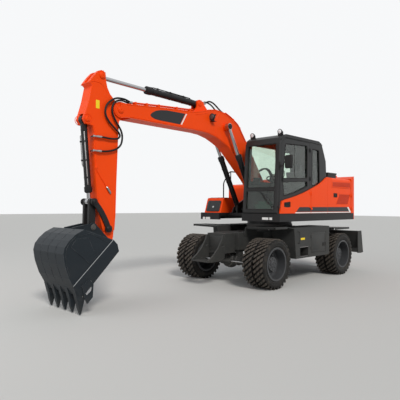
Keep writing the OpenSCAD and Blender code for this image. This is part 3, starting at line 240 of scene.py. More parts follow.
def buildGrain():
    # fine unevenness of paint, castings and rubber
    group, given, leave = newGroup("fineGrain", ("Vector", "Scale", "Coarse"), ("Height",))
    fine = addNoise(group, given["Vector"], given["Scale"])
    wide = addNoise(group, given["Vector"], addMath(group, "MULTIPLY", given["Scale"], 0.12), 2.0)
    feed(group, leave, {"Height": addMath(group, "ADD", fine, addMath(group, "MULTIPLY", wide, given["Coarse"]))})
    return group


def buildScratch():
    # thin rub marks
    group, given, leave = newGroup("rubMarks", ("Vector", "Scale", "Amount"), ("Mask",))
    thin = addRange(group, addNoise(group, given["Vector"], given["Scale"], 6.0, 0.75), 0.56, 0.66)
    feed(group, leave, {"Mask": addMath(group, "MULTIPLY", thin, given["Amount"], True)})
    return group


groups = {"tone": buildTone(), "dust": buildDust(), "edge": buildEdge(), "grain": buildGrain(),
    "scratch": buildScratch()}
print("shared node groups:", len(groups))

# colour, roughness, coat, spread of lightness, dust, height where it ends, grain, bump, and what else there is
dustColor = (0.30, 0.25, 0.19)
paints = {
    "orangePaint": ((0.87, 0.066, 0.003), 0.42, 0.02, 0.035, 0.05, 2.6, 90, 0.02,
        {"wear": 0.25, "worn": (0.52, 0.06, 0.01), "specular": 0.14}),
    "greyPaint": ((0.036, 0.037, 0.036), 0.50, 0.02, 0.10, 0.09, 1.25, 70, 0.05,
        {"wear": 0.35, "worn": (0.13, 0.125, 0.12)}),
    "blackPaint": ((0.013, 0.013, 0.014), 0.42, 0.03, 0.12, 0.04, 2.2, 80, 0.04,
        {"wear": 0.3, "worn": (0.075, 0.07, 0.066)}),
    "cabPaint": ((0.020, 0.0205, 0.021), 0.40, 0.05, 0.08, 0.03, 2.4, 90, 0.02,
        {"wear": 0.2, "worn": (0.08, 0.078, 0.075)}),
    "rimPaint": ((0.052, 0.054, 0.058), 0.36, 0.20, 0.12, 0.0, 1.1, 70, 0.04,
        {"wear": 0.45, "worn": (0.16, 0.155, 0.15)}),
    "bucketPaint": ((0.013, 0.018, 0.023), 0.46, 0.0, 0.14, 0.06, 0.9, 45, 0.08,
        {"wear": 0.6, "worn": (0.17, 0.18, 0.19)}),
    "castMetal": ((0.085, 0.083, 0.080), 0.62, 0.0, 0.16, 0.1, 1.6, 40, 0.2,
        {"wear": 0.2, "worn": (0.22, 0.21, 0.2)}),
    "mattePlastic": ((0.018, 0.018, 0.018), 0.62, 0.0, 0.08, 0.05, 2.6, 160, 0.08, {}),
    "greenPlastic": ((0.010, 0.055, 0.035), 0.5, 0.0, 0.08, 0.05, 2.6, 160, 0.06, {}),
    "hoseRubber": ((0.011, 0.011, 0.011), 0.45, 0.0, 0.08, 0.04, 3.0, 140, 0.05, {}),
    "bandGrey": ((0.024, 0.025, 0.027), 0.45, 0.1, 0.06, 0.05, 2.6, 90, 0.02, {}),
    "grilleOrange": ((0.55, 0.036, 0.004), 0.45, 0.1, 0.06, 0.1, 2.6, 90, 0.02, {}),
    "redLens": ((0.45, 0.010, 0.008), 0.12, 0.8, 0.05, 0.03, 2.6, 60, 0.01, {}),
    "whiteLine": ((0.78, 0.78, 0.76), 0.40, 0.2, 0.03, 0.04, 2.6, 90, 0.01, {}),
    "yellowPlate": ((0.86, 0.62, 0.02), 0.42, 0.1, 0.04, 0.06, 2.6, 90, 0.01, {}),
    "smokedLens": ((0.085, 0.080, 0.078), 0.14, 0.7, 0.1, 0.05, 4.0, 30, 0.02, {}),
    # light grey that stands in for the shine along a weld bead: a painted highlight
    "weldPaintedHighlight": ((0.30, 0.31, 0.32), 0.40, 0.0, 0.2, 0.05, 0.7, 80, 0.1, {}),
    "wornSteel": ((0.26, 0.25, 0.245), 0.36, 0.0, 0.16, 0.1, 0.7, 60, 0.08,
        {"wear": 0.4, "worn": (0.55, 0.54, 0.52), "metallic": 1.0}),
    "zincSteel": ((0.38, 0.38, 0.375), 0.34, 0.0, 0.1, 0.06, 1.6, 90, 0.03, {"metallic": 1.0}),
}
materials = {}


def startMaterial(name):
    materials[name] = bpy.data.materials.new(name)
    materials[name].use_nodes = True
    tree = materials[name].node_tree
    return tree, tree.nodes["Principled BSDF"], addNode(tree, "TexCoord").outputs["Object"]


def placeGroup(tree, name, **inputs):
    node = addNode(tree, "Group")
    node.node_tree = groups[name]
    feed(tree, node, inputs)
    return node.outputs


def addBump(tree, face, height, strength, distance=0.002):
    bump = addNode(tree, "Bump")
    feed(tree, bump, {"Strength": strength, "Distance": distance, "Height": height})
    feed(tree, face, {"Normal": bump.outputs["Normal"]})


def addWave(tree, place, direction, scale):
    wave = addNode(tree, "TexWave", wave_type="BANDS", bands_direction=direction)
    feed(tree, wave, {"Vector": place, "Scale": scale})
    return wave.outputs["Fac"]


def makePaint(name, color, roughness, coat, spread, dust, dustHigh, grain, bump, extra):
    tree, face, place = startMaterial(name)
    color = placeGroup(tree, "tone", Vector=place, Color=color, Scale=1.3, Spread=spread)["Color"]
    if "wear" in extra:
        rubbed = placeGroup(tree, "edge", Vector=place, Radius=0.007, Amount=extra["wear"], Scale=8.0)["Mask"]
        color = addMix(tree, rubbed, color, extra["worn"])
    dusty = placeGroup(tree, "dust", Vector=place, Color=color, Dust=dustColor, Amount=dust, Low=0.1, High=dustHigh,
        Scale=4.5)
    dull = addRange(tree, dusty["Mask"], 0.0, 0.4, roughness, min(roughness + 0.35, 0.9))
    feed(tree, face, {"Base Color": dusty["Color"], "Roughness": dull, "Metallic": extra.get("metallic", 0.0),
        "Specular IOR Level": extra.get("specular", 0.20), "Coat Weight": coat, "Coat Roughness": 0.12})
    addBump(tree, face, placeGroup(tree, "grain", Vector=place, Scale=grain, Coarse=0.5)["Height"], bump * 4.0)


def makeRubber():
    # tyre rubber: near-black walls, grooves and block sides darker still as painted shade, running faces lighter,
    # partly road dust and partly painted highlight, both told by the distance to the axle
    tree, face, place = startMaterial("tyreRubber")
    split = addNode(tree, "SeparateXYZ")
    feed(tree, split, {0: place})
    rise = addMath(tree, "SUBTRACT", split.outputs["Z"], tyre["radius"])
    reach = []
    for axle in tyre["axles"].values():
        run = addMath(tree, "SUBTRACT", split.outputs["X"], axle + middle.x)
        reach.append(addMath(tree, "SQRT", addMath(tree, "ADD", addMath(tree, "MULTIPLY", run, run),
            addMath(tree, "MULTIPLY", rise, rise))))
    radius = addMath(tree, "MINIMUM", *reach)
    # painted shade: the grooves and block sides darker than the walls
    color = addMix(tree, addRange(tree, radius, 0.476, 0.488), (0.011, 0.0105, 0.010), (0.004, 0.0038, 0.0035))
    # running faces lighter: road dust, and a painted highlight of the sun on them
    color = addMix(tree, addRange(tree, radius, 0.503, 0.515), color, (0.060, 0.051, 0.043))
    color = placeGroup(tree, "tone", Vector=place, Color=color, Scale=3.0, Spread=0.22)["Color"]
    patch = addRange(tree, addNoise(tree, place, 7.0, 5.0, 0.65), 0.48, 0.78, 0.0, 0.14)
    feed(tree, face, {"Base Color": addMix(tree, patch, color, dustColor), "Specular IOR Level": 0.22,
        "Roughness": addRange(tree, patch, 0.0, 0.2, 0.55, 0.85)})
    addBump(tree, face, placeGroup(tree, "grain", Vector=place, Scale=110.0, Coarse=0.6)["Height"], 0.25)


def makeChrome(name):
    # polished metal with a film of oil and fine scratches
    tree, face, place = startMaterial(name)
    marks = placeGroup(tree, "scratch", Vector=place, Scale=22.0, Amount=0.5)["Mask"]
    feed(tree, face, {"Base Color": addMix(tree, marks, (0.46, 0.46, 0.47), (0.33, 0.32, 0.31)), "Metallic": 1.0,
        "Roughness": addRange(tree, marks, 0.0, 0.5, 0.10, 0.24)})


def makeGlass(name, tint):
    tree, face, place = startMaterial(name)
    film = addRange(tree, addNoise(tree, place, 2.2, 4.0), 0.5, 0.8)
    feed(tree, face, {"Base Color": addMix(tree, film, tint, [c * 0.9 for c in tint]), "Transmission Weight": 1.0,
        "Roughness": addRange(tree, film, 0.0, 1.0, 0.02, 0.06), "IOR": 1.45})


def makeLens():
    # pale lamp glass with the ribs of its reflector behind it
    tree, face, place = startMaterial("lampLens")
    ribs = addWave(tree, place, "Y", 45.0)
    feed(tree, face, {"Base Color": addMix(tree, ribs, (0.86, 0.87, 0.88), (0.62, 0.64, 0.66)), "Coat Weight": 0.8,
        "Roughness": addRange(tree, ribs, 0.0, 1.0, 0.08, 0.2)})


def makeSeatCloth():
    tree, face, place = startMaterial("seatCloth")
    weave = addWave(tree, place, "DIAGONAL", 160.0)
    color = placeGroup(tree, "tone", Vector=place, Color=(0.030, 0.030, 0.033), Scale=4.0, Spread=0.15)["Color"]
    feed(tree, face, {"Base Color": addMix(tree, weave, color, (0.05, 0.05, 0.054)), "Roughness": 0.85,
        "Sheen Weight": 0.3, "Specular IOR Level": 0.2})
    addBump(tree, face, weave, 0.3, 0.001)


for name, look in paints.items():
    makePaint(name, *look)
makeRubber()
makeChrome("rodChrome")
makeGlass("tintedGlass", (0.79, 0.90, 0.81))
makeChrome("mirrorFace")
makeLens()
makeSeatCloth()

corners = ("front_left", "front_right", "rear_left", "rear_right")
nodeFinish = {
    "orangePaint": ["door_skin", "body_panels", "bonnet", "service_door_left", "service_door_right", "counterweight",
        "tank", "tool_box", "boom", "boom_pipes", "stick"],
    "greyPaint": ["main_frame", "step_box_left", "step_box_right", "mudguards", "front_axle", "rear_axle",
        "knuckle_left", "knuckle_right", "blade"],
    "blackPaint": ["drive_shafts", "deck", "blade_barrels", "boom_barrels", "stick_barrel", "bucket_barrel",
        "side_links", "bucket_link", "boom_lamp", "intake"],
    "cabPaint": ["cab_shell", "cab_door"], "rimPaint": ["wheel_" + corner for corner in corners],
    "tyreRubber": ["tyres_" + corner for corner in corners], "castMetal": ["slew_ring", "engine_block"],
    "rodChrome": ["tie_rod", "blade_rods", "boom_rods", "stick_rod", "bucket_rod"],
    "tintedGlass": ["cab_glass", "door_glass"], "seatCloth": ["seat"], "bucketPaint": ["bucket"],
    "mattePlastic": ["controls", "cab_mirror", "lamps"],
}
for finish, names in nodeFinish.items():
    for name in names:
        nodes[name].data.materials.clear()
        nodes[name].data.materials.append(materials[finish])
print("finishes:", len(materials))


# modelling tools
def pick(piece):
    bpy.ops.object.select_all(action="DESELECT")
    piece.select_set(True)
    bpy.context.view_layer.objects.active = piece
    return piece


def settle(piece):
    # place, turn and size go into the mesh
    pick(piece)
    bpy.ops.object.transform_apply(location=True, rotation=True, scale=True)
    return piece


def applyModifier(piece, kind, **settings):
    modifier = pick(piece).modifiers.new("shape", kind)
    for key, value in settings.items():
        setattr(modifier, key, value)
    bpy.ops.object.modifier_apply(modifier=modifier.name)


def bevelEdges(piece, width, segments=2, angle=40.0):
    if width:
        applyModifier(piece, "BEVEL", width=width, segments=segments, limit_method="ANGLE",
            angle_limit=math.radians(angle))
    return piece


outward = ("normals_make_consistent", {"inside": False})
doubles = ("remove_doubles", {"threshold": 0.0001})


def editMesh(piece, *steps):
    # each step is a mesh operator that works on the whole piece
    pick(piece)
    bpy.ops.object.mode_set(mode="EDIT")
    for operator, settings in steps:
        bpy.ops.mesh.select_all(action="SELECT")
        getattr(bpy.ops.mesh, operator)(**settings)
    bpy.ops.object.mode_set(mode="OBJECT")
    return piece


def addBlock(low, high, bevel=0.0, segments=2):
    low, high = Vector(low), Vector(high)
    bpy.ops.mesh.primitive_cube_add(size=1.0, location=(low + high) / 2)
    block = bpy.context.object
    block.scale = high - low
    return bevelEdges(settle(block), bevel, segments)


def addRound(start, reach, radius, sides=24, endRadius=None, bevel=0.0):
    # a round bar from its start along reach
    start, reach = Vector(start), Vector(reach)
    bpy.ops.mesh.primitive_cone_add(vertices=sides, radius1=radius, radius2=radius if endRadius is None else endRadius,
        depth=reach.length, location=start + reach / 2, rotation=reach.to_track_quat("Z", "Y").to_euler())
    return bevelEdges(settle(bpy.context.object), bevel, 2, 50.0)


def across(axis, u, v, level):
    return {"X": (level, u, v), "Y": (u, level, v), "Z": (u, v, level)}[axis]


def pulled(axis, low, high):
    return ("extrude_region_move", {"TRANSFORM_OT_translate": {"value": across(axis, 0, 0, high - low)}})


def addPlate(outline, low, high, axis="Y", bevel=0.0, segments=2):
    # a flat outline laid across an axis and pulled out from low to high
    bpy.ops.mesh.primitive_circle_add(vertices=len(outline), fill_type="NGON")
    plate = bpy.context.object
    for vertex, (u, v) in zip(plate.data.vertices, outline):
        vertex.co = across(axis, u, v, low)
    return bevelEdges(editMesh(plate, pulled(axis, low, high), outward), bevel, segments)


def addLabel(outline, low, high, bevel=0.0004, axis="Y"):
    # a thin plate, stripe or pane
    return addPlate(outline, low, high, axis, bevel, 1)


def widened(piece):
    # a second ring of vertices on top of an open outline
    return editMesh(piece, ("extrude_edges_move", {"TRANSFORM_OT_translate": {"value": (0, 0, 0)}}))


def addFrame(outline, width, low, high, axis="Y", bevel=0.002):
    # a flat ring along an outline, pulled out from low to high
    bpy.ops.mesh.primitive_circle_add(vertices=len(outline), fill_type="NOTHING")
    ring = widened(bpy.context.object)
    for vertex, (u, v) in zip(ring.data.vertices, list(outline) + grown(outline, -width)):
        vertex.co = across(axis, u, v, low)
    return bevelEdges(editMesh(ring, pulled(axis, low, high), outward), bevel, 1, 50.0)


def addTurned(profile, centre, axis, steps=48):
    # a closed profile of (radius, distance along the axis), turned all the way round
    bpy.ops.mesh.primitive_circle_add(vertices=len(profile), fill_type="NOTHING")
    piece = bpy.context.object
    axis = Vector(axis).normalized()
    side = axis.orthogonal().normalized()
    for vertex, (radius, along) in zip(piece.data.vertices, profile):
        vertex.co = Vector(centre) + side * radius + axis * along
    spin = ("spin", {"steps": steps, "angle": math.tau, "center": centre, "axis": axis})
    return editMesh(piece, spin, doubles, outward)


def ringOf(inner, outer, low, high):
    # profile of a plain ring, or of a disc where inner is 0
    return [(inner, low), (outer, low), (outer, high), (inner, high)]


def addRing(piece, count, centre, axis):
    # copies of the whole piece round an axis, in the same mesh
    return editMesh(piece, ("spin", {"steps": count - 1, "dupli": True, "angle": math.tau * (count - 1) / count,
        "center": centre, "axis": axis}))


def addTube(points, radius, sides=3):
    # a round bar, hose or bead on a line through the points
    curve = bpy.data.curves.new("tube", "CURVE")
    curve.dimensions = "3D"
    curve.bevel_depth = radius
    curve.bevel_resolution = sides
    curve.use_fill_caps = True
    spline = curve.splines.new("POLY")
    spline.points.add(len(points) - 1)
    for knot, point in zip(spline.points, points):
        knot.co = (*point, 1.0)
    tube = bpy.data.objects.new("tube", curve)
    bpy.context.scene.collection.objects.link(tube)
    pick(tube)
    bpy.ops.object.convert(target="MESH")
    return editMesh(bpy.context.object, doubles, outward)


def addBent(points, radius, sides=3):
    # a steel pipe of straight runs with small round bends
    points = [Vector(point) for point in points]
    line = [points[0]]
    for before, corner, after in zip(points, points[1:], points[2:]):
        reach = min(4.0 * radius, (corner - before).length * 0.4, (after - corner).length * 0.4)
        start = corner + (before - corner).normalized() * reach
        end = corner + (after - corner).normalized() * reach
        line += [start.lerp(corner, t).lerp(corner.lerp(end, t), t) for t in (0.0, 0.25, 0.5, 0.75, 1.0)]
    return addTube(line + [points[-1]], radius, sides)


def copyPiece(piece, move=(0, 0, 0)):
    pick(piece)
    bpy.ops.object.duplicate(linked=False)
    bpy.context.object.data.transform(Matrix.Translation(move))
    return bpy.context.object


def both(piece):
    # the piece and its mirror image on the machine's other side
    twin = copyPiece(piece)
    twin.data.transform(Matrix.Scale(-1, 4, (0, 1, 0)))
    twin.data.flip_normals()
    return [piece, twin]


def joinPieces(pieces):
    pick(pieces[0])
    for piece in pieces:
        piece.select_set(True)
    if len(pieces) > 1:
        bpy.ops.object.join()
    return pieces[0]


def finishPiece(piece, name, body, finish, smooth=35.0):
    if isinstance(piece, list):
        piece = joinPieces(piece)
    settle(piece)
    piece.data.transform(Matrix.Translation(middle))
    piece.name = piece.data.name = name
    piece.data.materials.clear()
    piece.data.materials.append(materials[finish])
    bpy.ops.object.shade_smooth_by_angle(angle=math.radians(smooth))
    if body:
        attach(piece, body)
    return piece


# outlines
def oblong(u, v, halfU, halfV):
    return [(u - halfU, v - halfV), (u + halfU, v - halfV), (u + halfU, v + halfV), (u - halfU, v + halfV)]


def span(lowU, lowV, highU, highV):
    return [(lowU, lowV), (highU, lowV), (highU, highV), (lowU, highV)]


def rounded(outline, radius, count=6):
    # an outline with its corners turned into short arcs
    points = []
    for index, corner in enumerate(outline):
        corner = Vector(corner)
        back = (Vector(outline[index - 1]) - corner).normalized()
        ahead = (Vector(outline[(index + 1) % len(outline)]) - corner).normalized()
        half = back.angle(ahead) / 2
        centre = corner + (back + ahead).normalized() * (radius / math.sin(half))
        start, end = corner + back * radius / math.tan(half), corner + ahead * radius / math.tan(half)
        for step in range(count + 1):
            spoke = (start - centre).lerp(end - centre, step / count)
            points.append(tuple(centre + spoke.normalized() * radius))
    return points


def grown(outline, reach):
    # the outline moved outwards by reach, or inwards where it is negative
    area = sum(a[0] * b[1] - b[0] * a[1] for a, b in zip(outline, outline[1:] + outline[:1]))
    sign = 1 if area > 0 else -1
    points = []
    for index, corner in enumerate(outline):
        before, after = Vector(outline[index - 1]), Vector(outline[(index + 1) % len(outline)])
        first, second = (Vector(corner) - before).normalized(), (after - Vector(corner)).normalized()
        m, n = Vector((first.y, -first.x)) * sign, Vector((second.y, -second.x)) * sign
        points.append(tuple(Vector(corner) + (m + n) * reach / (1 + m.dot(n))))
    return points


def arc(centre, radius, start, end, count=10):
    turns = (math.radians(start + (end - start) * step / count) for step in range(count + 1))
    return [(centre[0] + radius * math.cos(turn), centre[1] + radius * math.sin(turn)) for turn in turns]


# tyres and wheels
def tyreCarcass():
    # bead, sidewall with two rings, shoulder, flat tread base; then back along the air side
    half = tyre["width"] / 2
    side = [(tyre["bead"], 0.0975), (0.350, 0.0985), (0.366, 0.110), (0.380, 0.1165), (0.384, 0.1205), (0.392, 0.1205),
        (0.396, 0.1185), (0.418, half), (0.444, half - 0.0005), (0.448, half - 0.004), (0.466, 0.119),
        (0.480, 0.108), (tyre["treadBase"], 0.092)]
    inside = [(0.478, -0.085), (0.470, -0.100), (0.350, -0.085), (tyre["bead"], -0.084)]
    profile = side + [(r, -y) for r, y in reversed(side)]
    profile += inside[::-1] + [(r, -y) for r, y in inside]
    return addTurned(profile, (0, 0, 0), (0, 1, 0), tyre["steps"])


def treadRow(index, low, high):
    # one slanted block of the row, then the whole row by turning copies of it
    length, crown = tyre["block"], tyre["crown"]
    block = addBlock((-length / 2, low, tyre["treadBase"] - 0.004), (length / 2, high, crown))
    outer = low if abs(low) > abs(high) else high
    for vertex in block.data.vertices:
        spot = vertex.co
        spot.x += tyre["skew"] * ((spot.y - low) / (high - low) - 0.5)
        if spot.z > tyre["treadBase"]:
            spot.x *= 1 - tyre["shrink"]
            spot.y += ((low + high) / 2 - spot.y) * tyre["shrink"]
            spot.z = math.sqrt(crown ** 2 - spot.x ** 2)
        elif index != 1 and abs(spot.y - outer) < 0.001:
            spot.y, spot.z = math.copysign(tyre["shoulder"][0], outer), tyre["shoulder"][1]
    block.data.transform(Matrix.Rotation(tyre["turn"] * (index - 1), 4, "Y"))
    return addRing(bevelEdges(block, 0.003, 1, 30.0), tyre["blocks"], (0, 0, 0), (0, 1, 0))


wheelPlaces = [(f"{end}_{side}", x, sign) for end, x in tyre["axles"].items() for side, sign in sides.items()]


def addTyres():
    rows = [treadRow(index, low, high) for index, (low, high) in enumerate(tyre["rows"])]
    pattern = joinPieces([tyreCarcass()] + rows)
    outer, spread = tyre["outerFace"] - tyre["width"] / 2, tyre["width"] + tyre["gap"]
    for corner, x, sign in wheelPlaces:
        pair = [copyPiece(pattern, (x, sign * (outer - n * spread), tyre["radius"])) for n in (0, 1)]
        pair = finishPiece(pair, "tread_" + corner, "wheels_" + corner, "tyreRubber")
        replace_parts(pair, "tyres_" + corner)
    bpy.data.objects.remove(pattern)
    print("tyres with tread")


rim = {
    "discFace": 1.036, "nutCircle": 0.205, "nuts": 10, "nutRadius": 0.016, "hubFace": 1.130, "hubBolts": 8,
    "hubCircle": 0.105, "capRadius": 0.062,
}


def addWheelTrim():
    face, hub, cap = rim["discFace"], rim["hubFace"], rim["capRadius"]
    for corner, x, sign in wheelPlaces:
        centre, body = Vector((x, 0, tyre["radius"])), "wheels_" + corner

        def spot(radius, y, turn=0.0):
            return centre + Vector((radius * math.sin(turn), sign * y, radius * math.cos(turn)))

        def stub(circle, y, length, radius, sides):
            return addRound(spot(circle, y), (0, sign * length, 0), radius, sides)

        nut = [stub(rim["nutCircle"], face - 0.030, 0.042, rim["nutRadius"], 6),
            stub(rim["nutCircle"], face, 0.028, 0.008, 10)]
        nuts = addRing(joinPieces(nut), rim["nuts"], centre, (0, 1, 0))
        finishPiece(nuts, "wheel_nuts_" + corner, body, "zincSteel")
        bolts = addRing(stub(rim["hubCircle"], hub - 0.004, 0.016, 0.012, 6), rim["hubBolts"], centre, (0, 1, 0))
        lid = addTurned([(0.0, hub - 0.002), (cap + 0.012, hub - 0.002), (cap + 0.012, hub + 0.010), (cap, hub + 0.016),
            (cap - 0.022, hub + 0.018), (cap - 0.026, hub + 0.012), (0.0, hub + 0.012)], centre, (0, sign, 0), 32)
        finishPiece([lid, bolts, stub(0.0, hub + 0.010, 0.016, 0.016, 6)], "hub_cap_" + corner, body, "rimPaint")
        ring = addTurned([(0.309, 1.216), (0.3345, 1.226), (0.3445, 1.233), (0.3465, 1.2375), (0.342, 1.2395),
            (0.330, 1.2385), (0.309, 1.232)], centre, (0, sign, 0), 72)
        finishPiece(ring, "rim_lock_ring_" + corner, body, "rimPaint")
        stem = addBent([spot(0.30 - n * 0.03, face + out, 0.3) for n, out in enumerate((0.06, 0.09, 0.13))], 0.006)
        finishPiece(stem, "valve_stem_" + corner, body, "zincSteel")
    print("wheel nuts, hub caps and rim rings")


addTyres()
addWheelTrim()


# free hoses of the arm, each on the route that the part's source gives
hoses = {
    "radius": 0.017, "footRadius": 0.020, "step": 4,
    "tipY": {"outer": -0.008, "inner": -0.050}, "kneeY": {"left": -0.065, "right": -0.200},
    "footY": {"left": -0.110, "right": -0.155},
    "tipStart": [(4.2627, 3.5606), (4.2824, 3.5588)], "kneeStart": [(1.6897, 3.7872), (1.7084, 3.7941)],
    "outer": [(4.330, 0.004, 3.570), (4.410, 0.014, 3.586), (4.500, 0.020, 3.586), (4.585, 0.023, 3.576),
        (4.665, 0.024, 3.542), (4.740, 0.024, 3.486), (4.800, 0.024, 3.415), (4.825, 0.024, 3.330),
        (4.812, 0.024, 3.240), (4.757, 0.024, 3.155), (4.690, 0.024, 3.092), (4.610, 0.024, 3.030),
        (4.545, 0.024, 2.972), (4.524, 0.024, 2.920), (4.560, 0.024, 2.876), (4.640, 0.024, 2.858),
        (4.734, 0.023, 2.854), (4.848, 0.022, 2.860), (4.920, 0.022, 2.861), (4.9497, 0.022, 2.861)],
    "inner": [(4.320, -0.034, 3.553), (4.385, -0.002, 3.548), (4.460, 0.018, 3.552), (4.535, 0.022, 3.546),
        (4.605, 0.022, 3.518), (4.655, 0.022, 3.470), (4.684, 0.022, 3.400), (4.682, 0.022, 3.320),
        (4.650, 0.022, 3.240), (4.600, 0.022, 3.158), (4.547, 0.022, 3.090), (4.500, 0.022, 3.020),
        (4.474, 0.022, 2.940), (4.476, 0.022, 2.850), (4.503, 0.022, 2.768), (4.565, 0.022, 2.705),
        (4.645, 0.022, 2.664), (4.735, 0.022, 2.638), (4.840, 0.022, 2.622), (4.920, 0.022, 2.620),
        (4.9497, 0.022, 2.620)],
    "left": [(1.765, -0.065, 3.815), (1.840, -0.067, 3.856), (1.915, -0.071, 3.905), (1.995, -0.075, 3.948),
        (2.085, -0.076, 3.972), (2.170, -0.076, 3.962), (2.240, -0.076, 3.925), (2.290, -0.076, 3.905),
        (2.3177, -0.076, 3.905)],
    "right": [(1.755, -0.200, 3.818), (1.820, -0.203, 3.866), (1.885, -0.208, 3.918), (1.960, -0.215, 3.960),
        (2.045, -0.221, 3.984), (2.130, -0.224, 3.982), (2.215, -0.224, 3.940), (2.285, -0.224, 3.905),
        (2.3177, -0.224, 3.905)],
    "foot": [(0.5961, 2.7542), (0.5689, 2.7184), (0.500, 2.640), (0.410, 2.590), (0.300, 2.580), (0.190, 2.610),
        (0.080, 2.650), (-0.040, 2.660), (-0.160, 2.620), (-0.250, 2.530), (-0.295, 2.410), (-0.300, 2.300),
        (-0.300, 2.2053)],
}


def smoothLine(points, steps):
    # points on a smooth curve through the given ones
    line = []
    for index in range(len(points) - 1):
        before, first = points[max(index - 1, 0)], points[index]
        second, after = points[index + 1], points[min(index + 2, len(points) - 1)]
        for step in range(steps):
            t = step / steps
            square, cube = 2 * before - 5 * first + 4 * second - after, 3 * first - before - 3 * second + after
            line.append(0.5 * (2 * first + (second - before) * t + square * t ** 2 + cube * t ** 3))
    return line + [points[-1]]


def addHose(node, route, radius, body, farBody=None):
    line = smoothLine([Vector(point) for point in route], hoses["step"])
    hose = finishPiece(addTube(line, radius, 5), "free_" + node, None if farBody else body, "hoseRubber", 60.0)
    if farBody:
        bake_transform(hose)
    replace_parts(hose, node)
    return line


def addFerrule(name, end, toward, radius, body):
    # crimped sleeve with a hexagon nut where a hose meets its fitting
    end, away = Vector(end), (Vector(toward) - Vector(end)).normalized()
    steps = [(radius + out, along) for out, along in ((0.0015, -0.006), (0.003, 0.0), (0.003, 0.010), (0.0045, 0.013),
        (0.0045, 0.034), (0.003, 0.037), (0.0045, 0.040), (0.0045, 0.052), (0.0020, 0.056))]
    sleeve = addTurned([(0.0, -0.006)] + steps + [(0.0, 0.056)], end, away, 24)
    nut = addRound(end - away * 0.024, away * 0.022, radius + 0.006, 6, bevel=0.0015)
    finishPiece([sleeve, nut], name, body, "zincSteel", 30.0)


def addHoses():
    radius, wide = hoses["radius"], hoses["footRadius"]
    for side, y in hoses["tipY"].items():
        route = [(x, y, z) for x, z in hoses["tipStart"]] + hoses[side]
        line = addHose(f"tip_hose_{side}", route, radius, "boom", "stick")
        addFerrule(f"tip_fitting_{side}", line[0], line[3], radius, "boom")
        addFerrule(f"stick_fitting_{side}", line[-1], line[-3], radius, "stick")
    for side, y in hoses["kneeY"].items():
        line = addHose(f"knee_hose_{side}", [(x, y, z) for x, z in hoses["kneeStart"]] + hoses[side], radius, "boom")
        addFerrule(f"knee_fitting_{side}", line[0], line[3], radius, "boom")
        addFerrule(f"ear_fitting_{side}", line[-1], line[-3], radius, "boom")
        route = [(x, hoses["footY"][side], z) for x, z in reversed(hoses["foot"])]
        line = addHose(f"foot_hose_{side}", route, wide, "upper", "boom")
        addFerrule(f"gland_fitting_{side}", line[0], line[3], wide, "upper")
        addFerrule(f"foot_fitting_{side}", line[-1], line[-3], wide, "boom")
    print("hoses and their fittings")


addHoses()


# cab: window rubbers, lamps, mirror, wiper, door furniture and the inside
cab = {
    "side": 1.205, "inner": 0.310, "sealOut": 0.004, "front": 1.450, "foot": 1.550, "lean": -0.064955,
    "rearLean": 30 / 370, "grow": 0.006,
    "upperWindow": [(0.235, 2.350), (1.232, 2.295), (1.128, 3.050), (0.235, 3.093)],
    "lowerWindow": [(0.235, 2.160), (0.745, 2.010), (1.190, 1.925), (1.230, 2.235), (0.235, 2.285)],
    "quarterWindow": [(-0.330, 2.230), (0.030, 2.180), (0.030, 3.040), (-0.290, 3.040)],
    "rightWindows": [[(0.170, 2.260), (1.240, 2.260), (1.180, 3.090), (0.190, 3.090)],
        [(-0.470, 2.260), (0.060, 2.260), (0.000, 3.060), (-0.450, 3.060)]],
    "frontWindows": [(1.640, 2.050), (2.100, 3.040)], "rearWindow": (2.460, 2.780),
    "lamps": [(1.200, 0.392, 3.292), (1.200, 1.121, 3.300)], "mirror": (1.362, 1.430, 2.630),
}


def frontX(z):
    return cab["front"] + (z - cab["foot"]) * cab["lean"]


def tilted(piece, base, slope=cab["lean"]):
    # a piece drawn upright is tilted about the height base
    for vertex in piece.data.vertices:
        vertex.co.x += (vertex.co.z - base) * slope
    return piece


def addCabSeals():
    outer = (cab["side"] - 0.012, cab["side"] + cab["sealOut"])
    inner = (cab["inner"] - 0.004, cab["inner"] + 0.012)
    for name, body, windows, radius, depth in (("door_seal_upper", "cab_door", [cab["upperWindow"]], 0.060, outer),
            ("door_seal_lower", "cab_door", [cab["lowerWindow"]], 0.022, outer),
            ("quarter_seal", "upper", [cab["quarterWindow"]], 0.055, outer),
            ("right_seals", "upper", cab["rightWindows"], 0.055, inner)):
        rings = [addFrame(rounded(grown(window, cab["grow"]), radius), 0.020, *depth) for window in windows]
        finishPiece(rings, name, body, "mattePlastic")
    base = cab["frontWindows"][0][0]
    rings = [tilted(addFrame(rounded(span(0.372, low - 0.008, 1.143, high + 0.008), 0.035), 0.024, frontX(base) - 0.020,
        frontX(base) + 0.004, "X"), base) for low, high in cab["frontWindows"]]
    finishPiece(rings, "windscreen_seals", "upper", "mattePlastic")
    low, high = cab["rearWindow"]
    outline = rounded(span(0.412, low - cab["grow"], 1.103, high + cab["grow"]), 0.030)
    ring = addFrame(outline, 0.022, -0.650, -0.630, "X")
    finishPiece(tilted(ring, 2.430, cab["rearLean"]), "rear_seal", "upper", "mattePlastic")
    # dark lining behind the door's lower pane, with a map pocket
    lining = addLabel(rounded(grown(cab["lowerWindow"], -0.002), 0.020), 1.156, 1.164, 0.001)
    pocket = addBlock((0.420, 1.128, 2.110), (0.900, 1.158, 2.160), 0.012)
    finishPiece([lining, pocket], "door_lining", "cab_door", "mattePlastic")
    rail = addBlock((0.735, 1.172, 2.345), (0.755, 1.181, 3.070), 0.003)
    finishPiece(rail, "window_rail", "cab_door", "zincSteel")
    print("window rubbers")


